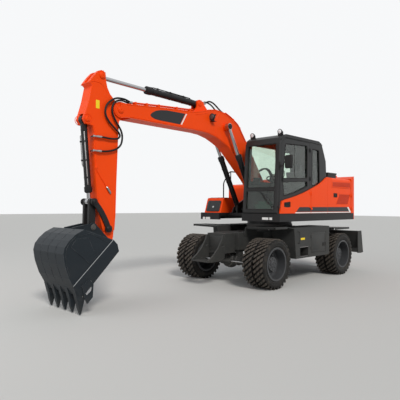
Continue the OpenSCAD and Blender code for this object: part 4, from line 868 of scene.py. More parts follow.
def addLamps():
    feet, drums, lenses = [], [], []
    for x, y, z in cab["lamps"]:
        feet.append(addBlock((x - 0.045, y - 0.030, 3.206), (x + 0.035, y + 0.030, 3.236), 0.004))
        feet.append(addPlate([(x - 0.030, 3.225), (x + 0.012, 3.225), (x + 0.010, z), (x - 0.020, z)], y - 0.060,
            y + 0.060, bevel=0.003))
        drums.append(addTurned([(0.0, -0.034), (0.024, -0.034), (0.040, -0.026), (0.050, 0.000), (0.053, 0.020),
            (0.053, 0.030), (0.046, 0.032), (0.044, 0.020), (0.0, 0.012)], (x, y, z), (1, 0, 0), 32))
        lenses.append(addTurned([(0.0, 0.018), (0.044, 0.018), (0.046, 0.026), (0.036, 0.031), (0.018, 0.034),
            (0.0, 0.0345)], (x, y, z), (1, 0, 0), 32))
    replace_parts(finishPiece(feet + drums, "roof_lamps", "upper", "mattePlastic"), "lamps")
    finishPiece(lenses, "roof_lamp_lenses", "upper", "lampLens")
    print("roof lamps")


def addMirror():
    x, y, z = cab["mirror"]
    shell = addPlate(rounded(oblong(y, z, 0.097, 0.142), 0.038), x - 0.018, x + 0.020, "X")
    for vertex in shell.data.vertices:
        if vertex.co.x > x:
            vertex.co.y = y + (vertex.co.y - y) * 0.80
            vertex.co.z = z + (vertex.co.z - z) * 0.86
    bevelEdges(shell, 0.008, 3, 25.0)
    glass = addLabel(rounded(oblong(y, z, 0.075, 0.125), 0.030), x - 0.0215, x - 0.0175, 0.001, "X")
    arm = addBent([(1.355, 1.196, 2.560), (1.355, 1.285, 2.545), (1.362, 1.330, 2.620), (x, y - 0.030, z)], 0.010)
    ball = addTurned([(0.0, -0.022), (0.014, -0.018), (0.022, 0.0), (0.014, 0.018), (0.0, 0.022)],
        (1.362, y - 0.070, z), (0, 1, 0), 20)
    foot = addBlock((1.322, 1.200, 2.500), (1.378, 1.226, 2.640), 0.006)
    cuff = addBlock((1.330, 1.222, 2.530), (1.372, 1.252, 2.590), 0.008)
    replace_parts(finishPiece([shell, arm, ball, foot, cuff], "mirror_head", "upper", "mattePlastic"), "cab_mirror")
    finishPiece(glass, "mirror_glass", "upper", "mirrorFace")
    print("mirror")


def addCabTrim():
    side = cab["side"]
    # wiper over the lower half of the windscreen
    face = frontX(1.720) + 0.012
    arm = addBent([(face, 1.080, 1.700), (face + 0.012, 1.040, 1.745), (frontX(1.97) + 0.014, 0.860, 1.960)], 0.006)
    blade = addLabel([(0.985, 1.745), (0.995, 1.752), (0.765, 2.026), (0.755, 2.019)], face - 0.022, face - 0.002,
        0.002, "X")
    hub = addTurned([(0.0, -0.014), (0.018, -0.014), (0.020, 0.004), (0.012, 0.012), (0.0, 0.014)],
        (face - 0.004, 1.080, 1.700), (1, 0, 0), 20)
    finishPiece([arm, tilted(blade, 1.720), hub], "wiper", "upper", "mattePlastic")
    # outer door handle, and hinges on the rear post
    handle = addBlock((1.222, side - 0.002, 2.235), (1.262, side + 0.018, 2.325), 0.006)
    grip = addBent([(1.242, side + 0.010, 2.325), (1.240, side + 0.040, 2.345), (1.234, side + 0.040, 2.450),
        (1.232, side + 0.006, 2.468)], 0.008)
    finishPiece([handle, grip], "door_handle", "cab_door", "mattePlastic")
    hinges = []
    for z in (1.700, 2.300, 2.950):
        hinges.append(addRound((0.118, side + 0.012, z), (0, 0, 0.090), 0.013, 16, bevel=0.003))
        hinges.append(addBlock((0.070, side - 0.002, z + 0.010), (0.116, side + 0.008, z + 0.080), 0.002))
    finishPiece(hinges, "cab_hinges", "upper", "cabPaint")
    # raised rib and drip edge of the roof, with its aerial foot and screws
    rib = addPlate(rounded(span(-0.250, 0.440, 1.020, 1.075), 0.080), 3.246, 3.262, "Z", 0.006, 3)
    gutter = addBent([(x, side + 0.006, z) for x, z in ((1.300, 3.110), (1.180, 3.182), (0.100, 3.190),
        (-0.340, 3.176))], 0.008)
    knobs = [addRound((x, y, 3.255), (0, 0, 0.022), 0.014, 12, bevel=0.004)
        for x in (-0.150, 0.920) for y in (0.520, 1.000)]
    bracket = addBlock((-0.455, 1.150, 3.118), (-0.395, 1.200, 3.190), 0.004)
    finishPiece([rib, gutter, bracket] + knobs, "roof_trim", "upper", "cabPaint")
    # panel joint under the windscreen and the front skirt's blank plates
    lip = addBlock((frontX(1.60) - 0.002, 0.360, 1.592), (frontX(1.60) + 0.006, 1.150, 1.604), 0.002)
    finishPiece(lip, "cab_front_lip", "upper", "cabPaint")
    plates = [addBlock((x - 0.001, low, z), (x + 0.001, high, top), 0.0006, 1) for x, z, top, low, high in (
        (1.4505, 1.425, 1.476, 0.837, 0.997), (1.4505, 1.425, 1.476, 1.024, 1.092),
        (1.1755, 1.385, 1.441, -1.173, -1.097), (1.1755, 1.385, 1.441, -1.074, -0.928))]
    finishPiece(plates, "blank_plates", "upper", "whiteLine")
    print("cab trim")


seatShape = {"middle": (0.250, 0.7575), "floor": 1.605, "base": 1.935, "fill": 0.8}


def addPad(name, low, high, crown, channels, degrees, pivot, place=None):
    # a crowned cushion with sewn channels across it; place is where its low corner ends up
    pad = editMesh(addBlock(low, high), ("subdivide", {"number_cuts": 11}))
    low, high = Vector(low), Vector(high)
    centre, half = (low + high) / 2, (high - low) / 2
    for vertex in pad.data.vertices:
        u, v, w = ((vertex.co[axis] - centre[axis]) / half[axis] for axis in range(3))
        vertex.co.z += crown * (1 - u * u) * (1 - v * v) * max(w, 0.0)
        pull = 1 - 0.05 * (1 - min(abs(u), abs(v))) * abs(w)
        vertex.co.x = centre.x + (vertex.co.x - centre.x) * pull
        vertex.co.y = centre.y + (vertex.co.y - centre.y) * pull
        if w > 0.9:
            for channel in channels:
                vertex.co.z -= 0.014 * math.exp(-((u - channel) / 0.07) ** 2) * (1 - abs(v) ** 6)
            for strip in (-0.62, 0.62):
                vertex.co.z -= 0.012 * math.exp(-((v - strip) / 0.06) ** 2)
    bevelEdges(pad, 0.018, 3, 60.0)
    applyModifier(pad, "SUBSURF", levels=1, render_levels=1)
    turn = Matrix.Rotation(math.radians(degrees), 4, "Y")
    pad.data.transform(Matrix.Translation(pivot) @ turn @ Matrix.Translation(-Vector(pivot)))
    if place:
        corner = Vector(pad.bound_box[0])
        pad.data.transform(Matrix.Translation((place[0] - corner.x, 0, place[1] - corner.z)))
    finishPiece(pad, name, "upper", "seatCloth", 80.0)
    return pad


def addSeat():
    (x, y), floor, base = (seatShape[key] for key in ("middle", "floor", "base"))
    cushion = addPad("seat_cushion", (x - 0.215, y - 0.235, base + 0.010), (x + 0.262, y + 0.235, base + 0.115), 0.018,
        (-0.35, 0.35), -2, (x, y, base))
    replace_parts(cushion, "seat")
    addPad("seat_back", (x - 0.300, y - 0.225, base + 0.110), (x + 0.260, y + 0.225, base + 0.215), 0.016,
        (-0.5, 0.0, 0.5), -82, (x - 0.215, y, base + 0.110), (x - 0.318, base + 0.120))
    addPad("seat_headrest", (x - 0.090, y - 0.125, 0.0), (x + 0.090, y + 0.125, 0.085), 0.014, (), -84, (x, y, 0),
        (x - 0.322, floor + 1.018))
    parts = [addBlock((x - 0.210, y - 0.225, base - 0.030), (x + 0.230, y + 0.225, base + 0.012), 0.010),
        addBlock((x - 0.180, y - 0.180, floor), (x + 0.220, y + 0.180, floor + 0.060), 0.008)]
    for s in (-1, 1):
        parts.append(addRound((x - 0.270, y + s * 0.060, floor + 0.960), (-0.005, 0, 0.090), 0.007, 12))
    for s in (-1, 1):
        parts.append(addBlock((x - 0.170, y + s * 0.262 - 0.026, base + 0.250), (x + 0.140, y + s * 0.262 + 0.026,
            base + 0.300), 0.020, 3))
    for step in range(6):
        z = floor + 0.060 + step * 0.040
        spread = 0.165 + (0.012 if step % 2 else 0.0)
        parts.append(addBlock((x - spread, y - spread, z), (x + spread, y + spread, z + 0.036), 0.012))
    finishPiece(parts, "seat_frame", "upper", "mattePlastic")
    print("seat")


def addControls():
    # consoles with levers, steering column and wheel, pedals, display and the heater box
    (x, y), floor = seatShape["middle"], seatShape["floor"]
    parts = []
    for s in (-1, 1):
        side = y + s * 0.315
        root, lean = (x + 0.300, side, floor + 0.530), (0.14, 0, 1)
        outline = [(x - 0.250, floor), (x + 0.330, floor), (x + 0.400, floor + 0.480), (x + 0.380, floor + 0.548),
            (x - 0.250, floor + 0.500)]
        parts.append(addPlate(outline, side - 0.055, side + 0.055, bevel=0.018, segments=3))
        parts.append(addTurned([(0.0, -0.01), (0.034, -0.01), (0.030, 0.020), (0.034, 0.030), (0.024, 0.048),
            (0.027, 0.058), (0.014, 0.080), (0.0, 0.080)], root, lean, 24))
        parts.append(addTurned([(0.0, 0.070), (0.008, 0.070), (0.008, 0.125), (0.018, 0.135), (0.024, 0.180),
            (0.026, 0.232), (0.019, 0.250), (0.0, 0.254)], root, lean, 20))
        parts += [addRound((x + 0.120 + n * 0.045, side, floor + 0.520), (0, 0, 0.018), 0.014, 12, bevel=0.003)
            for n in range(3)]
    column = Vector((x + 0.830, y, floor + 0.150))
    way = Vector((-math.sin(math.radians(22)), 0, math.cos(math.radians(22))))
    parts.append(addBlock((x + 0.740, y - 0.060, floor), (x + 0.890, y + 0.060, floor + 0.200), 0.020, 3))
    parts.append(addTurned([(0.0, 0.0), (0.040, 0.0), (0.036, 0.280), (0.042, 0.300), (0.042, 0.560), (0.056, 0.588),
        (0.056, 0.606), (0.030, 0.622), (0.0, 0.624)], column, way, 28))
    hub = column + way * 0.588
    parts.append(addTurned([(0.185 + 0.014 * math.cos(k * math.tau / 12), 0.014 * math.sin(k * math.tau / 12))
        for k in range(12)], hub, way, 48))
    for turn in (0, 120, 240):
        spoke = Matrix.Rotation(math.radians(turn), 3, way) @ way.orthogonal().normalized()
        parts.append(addRound(hub, spoke * 0.180, 0.011, 10, 0.009))
    for s in (-1, 1):
        parts.append(addPlate([(x + 0.960, floor + 0.005), (x + 1.010, floor + 0.005), (x + 1.095, floor + 0.190),
            (x + 1.080, floor + 0.200)], y + s * 0.150 - 0.045, y + s * 0.150 + 0.045, bevel=0.006))
    parts.append(addPlate([(x + 0.955, floor + 0.560), (x + 0.985, floor + 0.560), (x + 0.965, floor + 0.740),
        (x + 0.935, floor + 0.740)], 0.420, 0.610, bevel=0.010))
    parts.append(addRound((x + 0.930, 0.400, floor + 0.480), (0.015, 0.050, 0.140), 0.010, 10))
    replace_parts(finishPiece(parts, "cab_controls", "upper", "mattePlastic"), "controls")
    mat = [addPlate(rounded(span(0.480, 0.400, 1.350, 1.110), 0.040), floor, floor + 0.010, "Z", 0.003)]
    mat += [addBlock((0.520 + n * 0.040, 0.440, floor + 0.009), (0.532 + n * 0.040, 1.070, floor + 0.014), 0.002, 1)
        for n in range(20)]
    finishPiece(mat, "cab_mat", "upper", "hoseRubber")
    heater = [addBlock((1.230, 0.545, floor + 0.002), (1.325, 0.965, 1.815), 0.018, 3)]
    heater += [addBlock((1.318, 0.575, z), (1.330, 0.935, z + 0.008), 0.002, 1) for z in (1.70, 1.72, 1.74, 1.76, 1.78)]
    finishPiece(heater, "heater_box", "upper", "greenPlastic")
    print("controls")


addCabSeals()
addLamps()
addMirror()
addCabTrim()
addSeat()
addControls()


# bodywork: stripes, grilles, latches, seams, lids, lamps and steps
body = {
    "face": 1.239, "thin": 0.0012, "rear": -1.886,
    "band": [(0.766, 1.591), (0.621, 1.698), (-1.666, 1.706), (-1.760, 1.706), (-1.868, 1.591)],
    "slash": [(-1.678, 1.706), (-1.768, 1.706), (-1.884, 1.583), (-1.884, 1.562), (-1.820, 1.562)],
    "lineTop": 1.584, "lineLow": 1.562, "lineFront": 0.800,
    "splits": [(1, "cab_door", 0.1415, 0.800), (1, "upper", -0.649, 0.127), (1, "service_door_left", -1.886, -0.657),
        (-1, "service_door_right", -1.886, -0.657)],
    "grille": [(-1.700, 1.770), (-1.070, 1.770), (-1.250, 2.030), (-1.850, 2.030)], "hole": 0.0085, "pitch": 0.021,
    "louvre": [(-1.850, 2.208), (-0.890, 2.200), (-0.890, 2.320), (-1.850, 2.340)],
    "recess": [(0.985, 1.700), (1.090, 1.690), (1.225, 1.700), (1.225, 1.790), (0.985, 1.810)],
    "latch": (-1.040, 1.995), "lidFoot": (1.0435, 0, 1.560), "lidTop": (-0.110, 0.340), "padPitch": 0.048,
}


def trimmed(outline, low, high):
    # the outline cut to the span from low to high along X
    for limit, keep in ((low, 1), (high, -1)):
        points = []
        for before, point in zip(outline[-1:] + outline[:-1], outline):
            here, there = (point[0] - limit) * keep >= 0, (before[0] - limit) * keep >= 0
            if here != there:
                share = (limit - before[0]) / (point[0] - before[0])
                points.append((limit, before[1] + (point[1] - before[1]) * share))
            if here:
                points.append(point)
        outline = points
    return outline


def atSide(side, low, high):
    # a span of distances from the middle plane, on one side of the machine
    return sorted((side * low, side * high))


def addStripes():
    at = [body["face"], body["face"] + body["thin"]]
    for side, owner, low, high in body["splits"]:
        stripe = addLabel(trimmed(body["band"], low, high), *atSide(side, *at))
        finishPiece(stripe, f"black_band_{owner}", owner, "bandGrey")
        low, end = max(low, body["rear"]), min(high, body["lineFront"])
        slant = min(high, body["lineFront"] - 0.020)
        lines = [addLabel([(low, body["lineLow"]), (end, body["lineLow"]), (slant, body["lineTop"]),
            (low, body["lineTop"])], *atSide(side, *at))]
        if "service" in owner:
            lines.append(addLabel(body["slash"], *(y + side * body["thin"] * 0.5 for y in atSide(side, *at))))
        finishPiece(lines, f"white_line_{owner}", owner, "whiteLine")
    print("stripes")


def addMesh(outline, level):
    # a perforated sheet: one holed square, repeated both ways, then cut to the outline
    pitch, half = body["pitch"], body["pitch"] / 2
    us, vs = [p[0] for p in outline], [p[1] for p in outline]
    bpy.ops.mesh.primitive_circle_add(vertices=8, radius=body["hole"], rotation=(math.radians(90), 0, 0))
    tile = widened(settle(bpy.context.object))
    for vertex in list(tile.data.vertices)[8:]:
        reach = max(abs(vertex.co.x), abs(vertex.co.z))
        vertex.co.x, vertex.co.z = (round(v / reach, 3) * half if abs(v / reach) > 0.9 else v / reach * half
            for v in (vertex.co.x, vertex.co.z))
    tile.data.transform(Matrix.Translation((min(us) + half, 0, min(vs) + half)))
    for way, spread in (((pitch, 0, 0), us), ((0, 0, pitch), vs)):
        applyModifier(tile, "ARRAY", count=math.ceil((max(spread) - min(spread)) / pitch), use_relative_offset=False,
            use_constant_offset=True, constant_offset_displace=way, use_merge_vertices=True, merge_threshold=0.0005)
    centre = (sum(us) / len(us), sum(vs) / len(vs))
    for index, (u, v) in enumerate(outline):
        normal = Vector((v - outline[index - 1][1], 0, outline[index - 1][0] - u))
        if normal.x * (centre[0] - u) + normal.z * (centre[1] - v) > 0:
            normal = -normal
        editMesh(tile, ("bisect", {"plane_co": (u, 0, v), "plane_no": normal, "clear_outer": True}))
    tile.data.transform(Matrix.Translation((0, level, 0)))
    applyModifier(tile, "SOLIDIFY", thickness=0.0016, offset=0.0)
    return editMesh(tile, outward)


def addGrilles():
    face = body["face"]
    for name, side in sides.items():
        for kind, owner, out, corner, width in (("grille", f"service_door_{name}", 0.004, 0.014, 0.012),
                ("louvre", "bonnet", 0.003, 0.010, 0.010)):
            mesh = addMesh(grown(body[kind], -0.006), side * (face - 0.0015))
            finishPiece(mesh, f"{kind}_mesh_{name}", owner, "grilleOrange", 20.0)
            outline, depth = rounded(grown(body[kind], out), corner, 4), atSide(side, face - 0.004, face + 0.003)
            finishPiece(addFrame(outline, width, *depth, bevel=0.0015), f"{kind}_rim_{name}", owner, "orangePaint")
    print("grilles")


def addLatches():
    face = body["face"]
    x, z = body["latch"]
    for name, side in sides.items():
        rimAt, linerAt, paddleAt = (atSide(side, face - inner, face + outer) for inner, outer in ((0.014, 0.003),
            (0.018, -0.0155), (0.016, -0.0005)))
        parts = [addFrame(rounded(oblong(x, z, 0.096, 0.052), 0.014, 4), 0.014, *rimAt),
            addPlate(oblong(x, z, 0.089, 0.044), *linerAt),
            addPlate(rounded(oblong(x - 0.0045, z, 0.0595, 0.030), 0.012, 4), *paddleAt, bevel=0.003),
            addRound((x - 0.035, side * (face - 0.004), z), (0, side * 0.007, 0), 0.011, 16, bevel=0.0015)]
        finishPiece(parts, f"door_latch_{name}", f"service_door_{name}", "mattePlastic")
    outline = rounded(body["recess"], 0.016, 4)
    parts = [addPlate(grown(outline, -0.001), face - 0.0150, face - 0.0125),
        addFrame(grown(outline, 0.003), 0.008, face - 0.004, face + 0.002, bevel=0.0012),
        addBent([(1.200, face - 0.012, 1.772), (1.190, face + 0.001, 1.765), (1.060, face + 0.001, 1.765),
            (1.048, face - 0.012, 1.772)], 0.008),
        addRound((1.165, face - 0.014, 1.720), (0, 0.010, 0), 0.012, 16, bevel=0.002)]
    finishPiece(parts, "door_pull", "cab_door", "mattePlastic")
    print("latches")


def addRightSide():
    # sloped dark lid and lock of the tool box, filler cap and step pads of the tank, rails of the right side
    lid = addPlate(rounded(span(-1.190, 0.020, -0.750, 0.300), 0.040), 0.0, 0.016, "X", 0.005)
    ribs = [addBlock((0.012, y - 0.012, 0.050), (0.022, y + 0.012, 0.270), 0.004) for y in (-1.120, -0.820)]
    turn = math.atan2(body["lidTop"][1], body["lidTop"][0]) - math.radians(90)
    for part in [lid] + ribs:
        part.data.transform(Matrix.Translation(body["lidFoot"]) @ Matrix.Rotation(-turn, 4, "Y"))
    lock = addTurned([(0.0, 0.0), (0.026, 0.0), (0.026, 0.010), (0.018, 0.014), (0.0, 0.014)], (1.016, -0.970, 1.690),
        (0.950, 0, 0.310), 24)
    finishPiece([lid] + ribs, "tool_lid", "upper", "bandGrey")
    finishPiece(lock, "tool_lock", "upper", "zincSteel")
    cap = addTurned([(0.0, -0.004), (0.075, -0.004), (0.075, 0.010), (0.058, 0.014), (0.058, 0.034), (0.050, 0.042),
        (0.0, 0.042)], (-0.160, -0.800, 2.290), (0, 0, 1), 32)
    grip = addBlock((-0.205, -0.808, 2.328), (-0.115, -0.792, 2.346), 0.004)
    finishPiece([cap, grip], "tank_cap", "upper", "mattePlastic")
    pads, pitch = [], body["padPitch"]
    for x, y, endX, endY, top in ((-0.600, -1.200, -0.100, -0.700, 2.2902), (0.650, -1.200, 0.890, -0.740, 1.9182)):
        pads.append(addLabel(rounded(span(x, y, endX, endY), 0.030, 4), top, top + 0.004, 0.001, "Z"))
        pads += [addRound((x + 0.030 + i * pitch, y + 0.030 + j * pitch, top + 0.003), (0, 0, 0.006), 0.012, 6, 0.008)
            for i in range(int((endX - x) / pitch)) for j in range(int((endY - y) / pitch))]
    finishPiece(pads, "step_pads", "upper", "cabPaint")
    parts = [addBent([(x, -1.216, z) for x, z in ((0.350, 1.548), (0.350, 2.330), (0.100, 2.640), (-0.480, 2.640),
        (-0.560, 2.560), (-0.560, 2.288))], 0.016, 4), addRound((0.060, -1.216, 2.230), (0, 0, 0.410), 0.014, 14)]
    parts += [addRound((x, -1.216, z), (0, 0, 0.012), 0.032, 20, bevel=0.003)
        for x, z in ((0.350, 1.549), (-0.560, 2.289))]
    finishPiece(parts, "right_rail", "upper", "blackPaint")
    print("right side")


def addRearTrim():
    # rear lamps, lifting eyes, plugs, exhaust, intake bars and the pads of the bonnet
    for name, side in sides.items():
        cup = addFrame(rounded(oblong(side * 0.900, 1.665, 0.100, 0.045), 0.020, 4), 0.012, -2.252, -2.236, "X")
        finishPiece(cup, f"rear_lamp_frame_{name}", "upper", "mattePlastic")
        lens = addPlate(rounded(oblong(side * 0.900, 1.665, 0.090, 0.035), 0.014, 4), -2.250, -2.236, "X", 0.003)
        finishPiece(lens, f"rear_lamp_{name}", "upper", "redLens")
    eyes = []
    for y in (-0.620, 0.620):
        eyes.append(addBent([(-2.130, y + dy, z) for dy, z in ((0, 2.490), (0, 2.545), (0.050, 2.575), (0.100, 2.545),
            (0.100, 2.490))], 0.014))
        eyes.append(addRound((-2.130, y + 0.050, 2.505), (0, 0, 0.014), 0.075, 28, bevel=0.004))
    finishPiece(eyes, "lifting_eyes", "upper", "orangePaint")
    plugs = [addRound((-2.262, y, 1.900), (0.022, 0, 0), 0.032, 24, bevel=0.004) for y in (-0.420, 0.420)]
    finishPiece(plugs, "counterweight_plugs", "upper", "orangePaint")
    pipe = addTurned(ringOf(0.046, 0.052, 0.0, 0.190), (-1.060, -0.620, 2.420), (0, 0, 1), 32)
    base = addTurned([(0.050, 0.0), (0.085, 0.0), (0.085, 0.012), (0.056, 0.020), (0.050, 0.020)],
        (-1.060, -0.620, 2.424), (0, 0, 1), 32)
    finishPiece([pipe, base], "exhaust_stub", "bonnet", "castMetal")
    bars = [addBlock((-1.520 + n * 0.036, 0.650, 2.500), (-1.504 + n * 0.036, 0.970, 2.545), 0.004) for n in range(12)]
    finishPiece(bars, "intake_bars", "bonnet", "mattePlastic")
    pads = [addBlock((-1.800, -0.060, 2.424), (-1.700, 0.060, 2.440), 0.006)]
    pads += [addBlock((-1.760, y - 0.180, 2.4245), (-1.160, y + 0.180, 2.4295), 0.002) for y in (-0.150, 0.260)]
    finishPiece(pads, "bonnet_pads", "bonnet", "cabPaint")
    print("rear and top trim")


addStripes()
addGrilles()
addLatches()
addRightSide()
addRearTrim()


# chassis: doors and steps of the boxes, nose, ring bolts, axles and blade
chassis = {
    "boxFace": 1.200, "door": [(-0.634, 0.646), (0.054, 0.646), (0.054, 1.114), (-0.634, 1.114)], "sunk": 0.0115,
    "latch": (-0.545, 0.820), "plate": [(0.330, 0.966), (0.500, 0.966), (0.500, 1.012), (0.330, 1.012)],
    "ringBolts": 36, "ringCircle": 0.525, "greaseCircle": 0.590, "axleZ": 0.520,
}


def addBoxTrim():
    face, (x, z) = chassis["boxFace"], chassis["latch"]
    parts = [addPlate(rounded(chassis["door"], 0.030, 5), face - chassis["sunk"] - 0.001, face - 0.002, bevel=0.004),
        addFrame(rounded(grown(chassis["door"], -0.035), 0.020, 4), 0.010, face - 0.003, face + 0.0015)]
    for low in (0.720, 0.990):
        parts.append(addRound((0.060, face + 0.004, low), (0, 0, 0.070), 0.009, 14, bevel=0.002))
        parts.append(addBlock((0.010, face - 0.003, low + 0.008), (0.058, face + 0.002, low + 0.062), 0.001, 1))
    finishPiece(both(joinPieces(parts)), "box_doors", "chassis", "greyPaint")
    parts = [addFrame(rounded(oblong(x, z, 0.075, 0.045), 0.014, 4), 0.012, face - 0.006, face + 0.003),
        addPlate(rounded(oblong(x - 0.0025, z, 0.0525, 0.028), 0.010, 4), face - 0.006, face + 0.001, bevel=0.003)]
    finishPiece(both(joinPieces(parts)), "box_latches", "chassis", "mattePlastic")
    finishPiece(addLabel(chassis["plate"], face - 0.0005, face + 0.0015), "box_plate", "chassis", "yellowPlate")
    # step with saw-edged treads in the recess
    parts = [addBlock((0.186, 1.020, 0.590), (0.524, 1.192, 0.597), 0.001, 1)]
    parts += [addBlock((0.196 + n * 0.032, 1.026, 0.596), (0.206 + n * 0.032, 1.188, 0.610), 0.002, 1)
        for n in range(10)]
    parts.append(addBlock((0.180, 1.1985, 0.797), (0.530, 1.2025, 0.812), 0.0015, 1))
    finishPiece(both(joinPieces(parts)), "box_steps", "chassis", "wornSteel")
    # grab rail and folded edges of the box
    loop = [(0.600, y, z) for y, z in ((1.200, 1.150), (1.238, 1.150), (1.238, 0.900), (1.200, 0.900))]
    parts = [addBent(loop, 0.009), addPlate(span(-0.800, 1.2395, 0.776, 1.2480), 0.640, 1.200, bevel=0.002)]
    parts += [addRound((x, 1.199, z), (0, 0.007, 0), 0.010, 6, bevel=0.001)
        for x in (-0.740, 0.640) for z in (0.640, 1.180)]
    finishPiece(both(joinPieces(parts)), "box_rails", "chassis", "greyPaint")
    print("boxes")


def addFrameTrim():
    # nose cover and weld runs, ring bolts, grease points, stays of the guards, steering pipes
    parts = [addPlate(rounded(span(-0.185, 0.760, 0.185, 1.060), 0.025, 5), 1.979, 1.986, "X", 0.003),
        addBlock((1.979, -0.006, 0.720), (1.984, 0.006, 1.100), 0.002, 1)]
    parts += [addRound((1.984, y, z), (0.012, 0, 0), 0.012, 6, bevel=0.0015)
        for y in (-0.160, 0.160) for z in (0.785, 1.035)]
    parts += [addTube([(1.984, s * y, 0.705), (1.984, s * y, 1.085)], radius)
        for y, radius in ((0.206, 0.006), (0.254, 0.005)) for s in (-1, 1)]
    parts += [addTube([(2.190, y, 0.574), (2.470, y, 0.574)], 0.005) for y in (-0.212, 0.212)]
    finishPiece(parts, "nose_cover", "chassis", "greyPaint")
    bolt = addRound((chassis["ringCircle"], 0, 1.284), (0, 0, 0.020), 0.014, 6, bevel=0.002)
    ring = addRing(bolt, chassis["ringBolts"], (0, 0, 0), (0, 0, 1))
    finishPiece(ring, "ring_bolts", "upper", "zincSteel")
    circle = chassis["greaseCircle"]
    grease = [addRound((circle * math.cos(a), circle * math.sin(a), 1.150), (0, 0, 0.046), 0.010, 10, 0.006)
        for a in (0.6, 2.2, 3.9, 5.5)]
    finishPiece(grease, "grease_points", "chassis", "zincSteel")
    parts = []
    for x in (1.060, 1.450, -1.860, -1.140):
        top = 1.250 if x > 0 else 1.160
        parts.append(addBlock((x - 0.012, 0.430, top - 0.040), (x + 0.012, 1.150, top - 0.006), 0.003))
        for vertex in parts[-1].data.vertices:
            vertex.co.z += (vertex.co.y - 0.430) * 0.026
    for x0, x1, z in ((1.034, 1.478, 1.262), (-1.888, -1.112, 1.172)):
        parts.append(addBlock((x0, 1.190, z - 0.034), (x1, 1.199, z + 0.010), 0.002))
    finishPiece(both(joinPieces(parts)), "guard_stays", "chassis", "greyPaint")
    pipes = [addBent([(1.560, y, 0.900), (1.700, y, 0.740), (1.700, y, 0.620), (1.690, y, 0.560)], 0.013)
        for y in (-0.080, 0.080)]
    finishPiece(pipes, "steering_pipes", "chassis", "hoseRubber")
    print("frame trim")


def addAxleTrim():
    level = chassis["axleZ"]
    for end, x in tyre["axles"].items():
        way, centre = math.copysign(1, x), (x, 0, level)
        bolt = addRound((x + way * 0.124, 0, level + 0.143), (way * 0.010, 0, 0), 0.008, 6, bevel=0.001)
        parts = [addTurned(ringOf(0.130, 0.152, 0.110, 0.126), centre, (way, 0, 0), 40),
            addRing(bolt, 12, centre, (1, 0, 0))]
        if end == "rear":
            parts.append(addTurned([(0.0, 0.150), (0.128, 0.150), (0.136, 0.140), (0.136, 0.118), (0.0, 0.118)], centre,
                (way, 0, 0), 40))
        for s in (-1, 1):
            for y in (0.235, 0.420):
                profile = [(radius - y * 0.05, along) for radius, along in ringOf(0.118, 0.132, -0.010, 0.010)]
                parts.append(addTurned(profile, (x, s * y, level), (0, 1, 0), 32))
            parts += [addRound((x + dx, s * y, 0.735), (0, 0, 0.017), 0.012, 6, bevel=0.001) for dx in (-0.052, 0.052)
                for y in (0.215, 0.285)]
        parts.append(addRound((x + way * 0.150, 0, 0.440), (way * 0.016, 0, 0), 0.014, 6, bevel=0.002))
        finishPiece(parts, f"axle_trim_{end}", "chassis", "castMetal")
    parts = []
    for x in (0.215, 1.200, -0.215, -1.165):
        centre = (x, 0, level)
        parts.append(addTurned(ringOf(0.0, 0.066, -0.018, 0.018), centre, (1, 0, 0), 24))
        parts.append(addRing(addRound((x - 0.024, 0, 0.570), (0.048, 0, 0), 0.007, 6), 6, centre, (1, 0, 0)))
    finishPiece(parts, "shaft_flanges", "chassis", "blackPaint")
    gearbox = [addBlock((-0.120, -0.148, 0.500), (0.120, 0.148, 0.600), 0.012, 3),
        addTurned([(0.0, 0.0), (0.080, 0.0), (0.076, 0.060), (0.0, 0.066)], (0.0, 0.140, 0.560), (0, 1, 0), 32)]
    finishPiece(gearbox, "gearbox_cover", "chassis", "castMetal")
    print("axle trim")


def addBladeTrim():
    # bolted cutting edge, stiffening ribs and end plates
    edge = [(-2.596, 0.4705), (-2.570, 0.4705), (-2.525, 0.560), (-2.545, 0.575)]
    parts = [addPlate(edge, -1.215, 1.215, bevel=0.002)]
    parts += [addTurned([(0.0, 0.0), (0.016, 0.0), (0.012, 0.007), (0.0, 0.008)], (-2.5365, -1.100 + n * 0.2444, 0.527),
        (0.45, 0, -0.25), 14) for n in range(10)]
    finishPiece(parts, "blade_edge", "blade", "wornSteel")
    parts = [addPlate([(-2.300, 0.860), (-2.338, 0.860), (-2.400, 0.650), (-2.520, 0.500), (-2.480, 0.500),
        (-2.330, 0.620)], y - 0.008, y + 0.008, bevel=0.002) for y in (-0.900, -0.560, 0.560, 0.900)]
    parts += [addBlock((-2.520, s * 1.246 - 0.006, 1.064), (-2.296, s * 1.246 + 0.003, 1.0695), 0.001, 1)
        for s in (-1, 1)]
    finishPiece(parts, "blade_ribs", "blade", "greyPaint")
    print("blade trim")


addBoxTrim()
addFrameTrim()
addAxleTrim()
addBladeTrim()


# arm: pin caps, cylinder fittings, weld runs, badge, lamp glass and steel pipes
def addPin(place, y, side, radius, keeper):
    # a chamfered pin end with its washer and grease nipple; keeper is the length of its locking plate
    x, z = place
    cap = [(radius + out, along) for out, along in ((0.014, -0.004), (0.014, 0.004), (0.010, 0.007), (0.0, 0.007),
        (-0.001, 0.012), (-0.006, 0.016))]
    cap = [(0.0, -0.004)] + cap + [(0.012, 0.016), (0.010, 0.013), (0.0, 0.013)]
    nipple = [(0.0, 0.010), (0.006, 0.010), (0.006, 0.020), (0.004, 0.024), (0.0, 0.025)]
    parts = [addTurned(cap, (x, y, z), (0, side, 0), 36), addTurned(nipple, (x, y, z), (0, side, 0), 12)]
    if keeper:
        top = z + radius + keeper
        bar = rounded(span(x - 0.016, z + radius * 0.4, x + 0.016, top), 0.010, 4)
        parts.append(addPlate(bar, *sorted((y + side * 0.004, y + side * 0.014)), bevel=0.002))
        parts.append(addRound((x, y + side * 0.010, top - 0.018), (0, side * 0.012, 0), 0.010, 6, bevel=0.0015))
    return parts


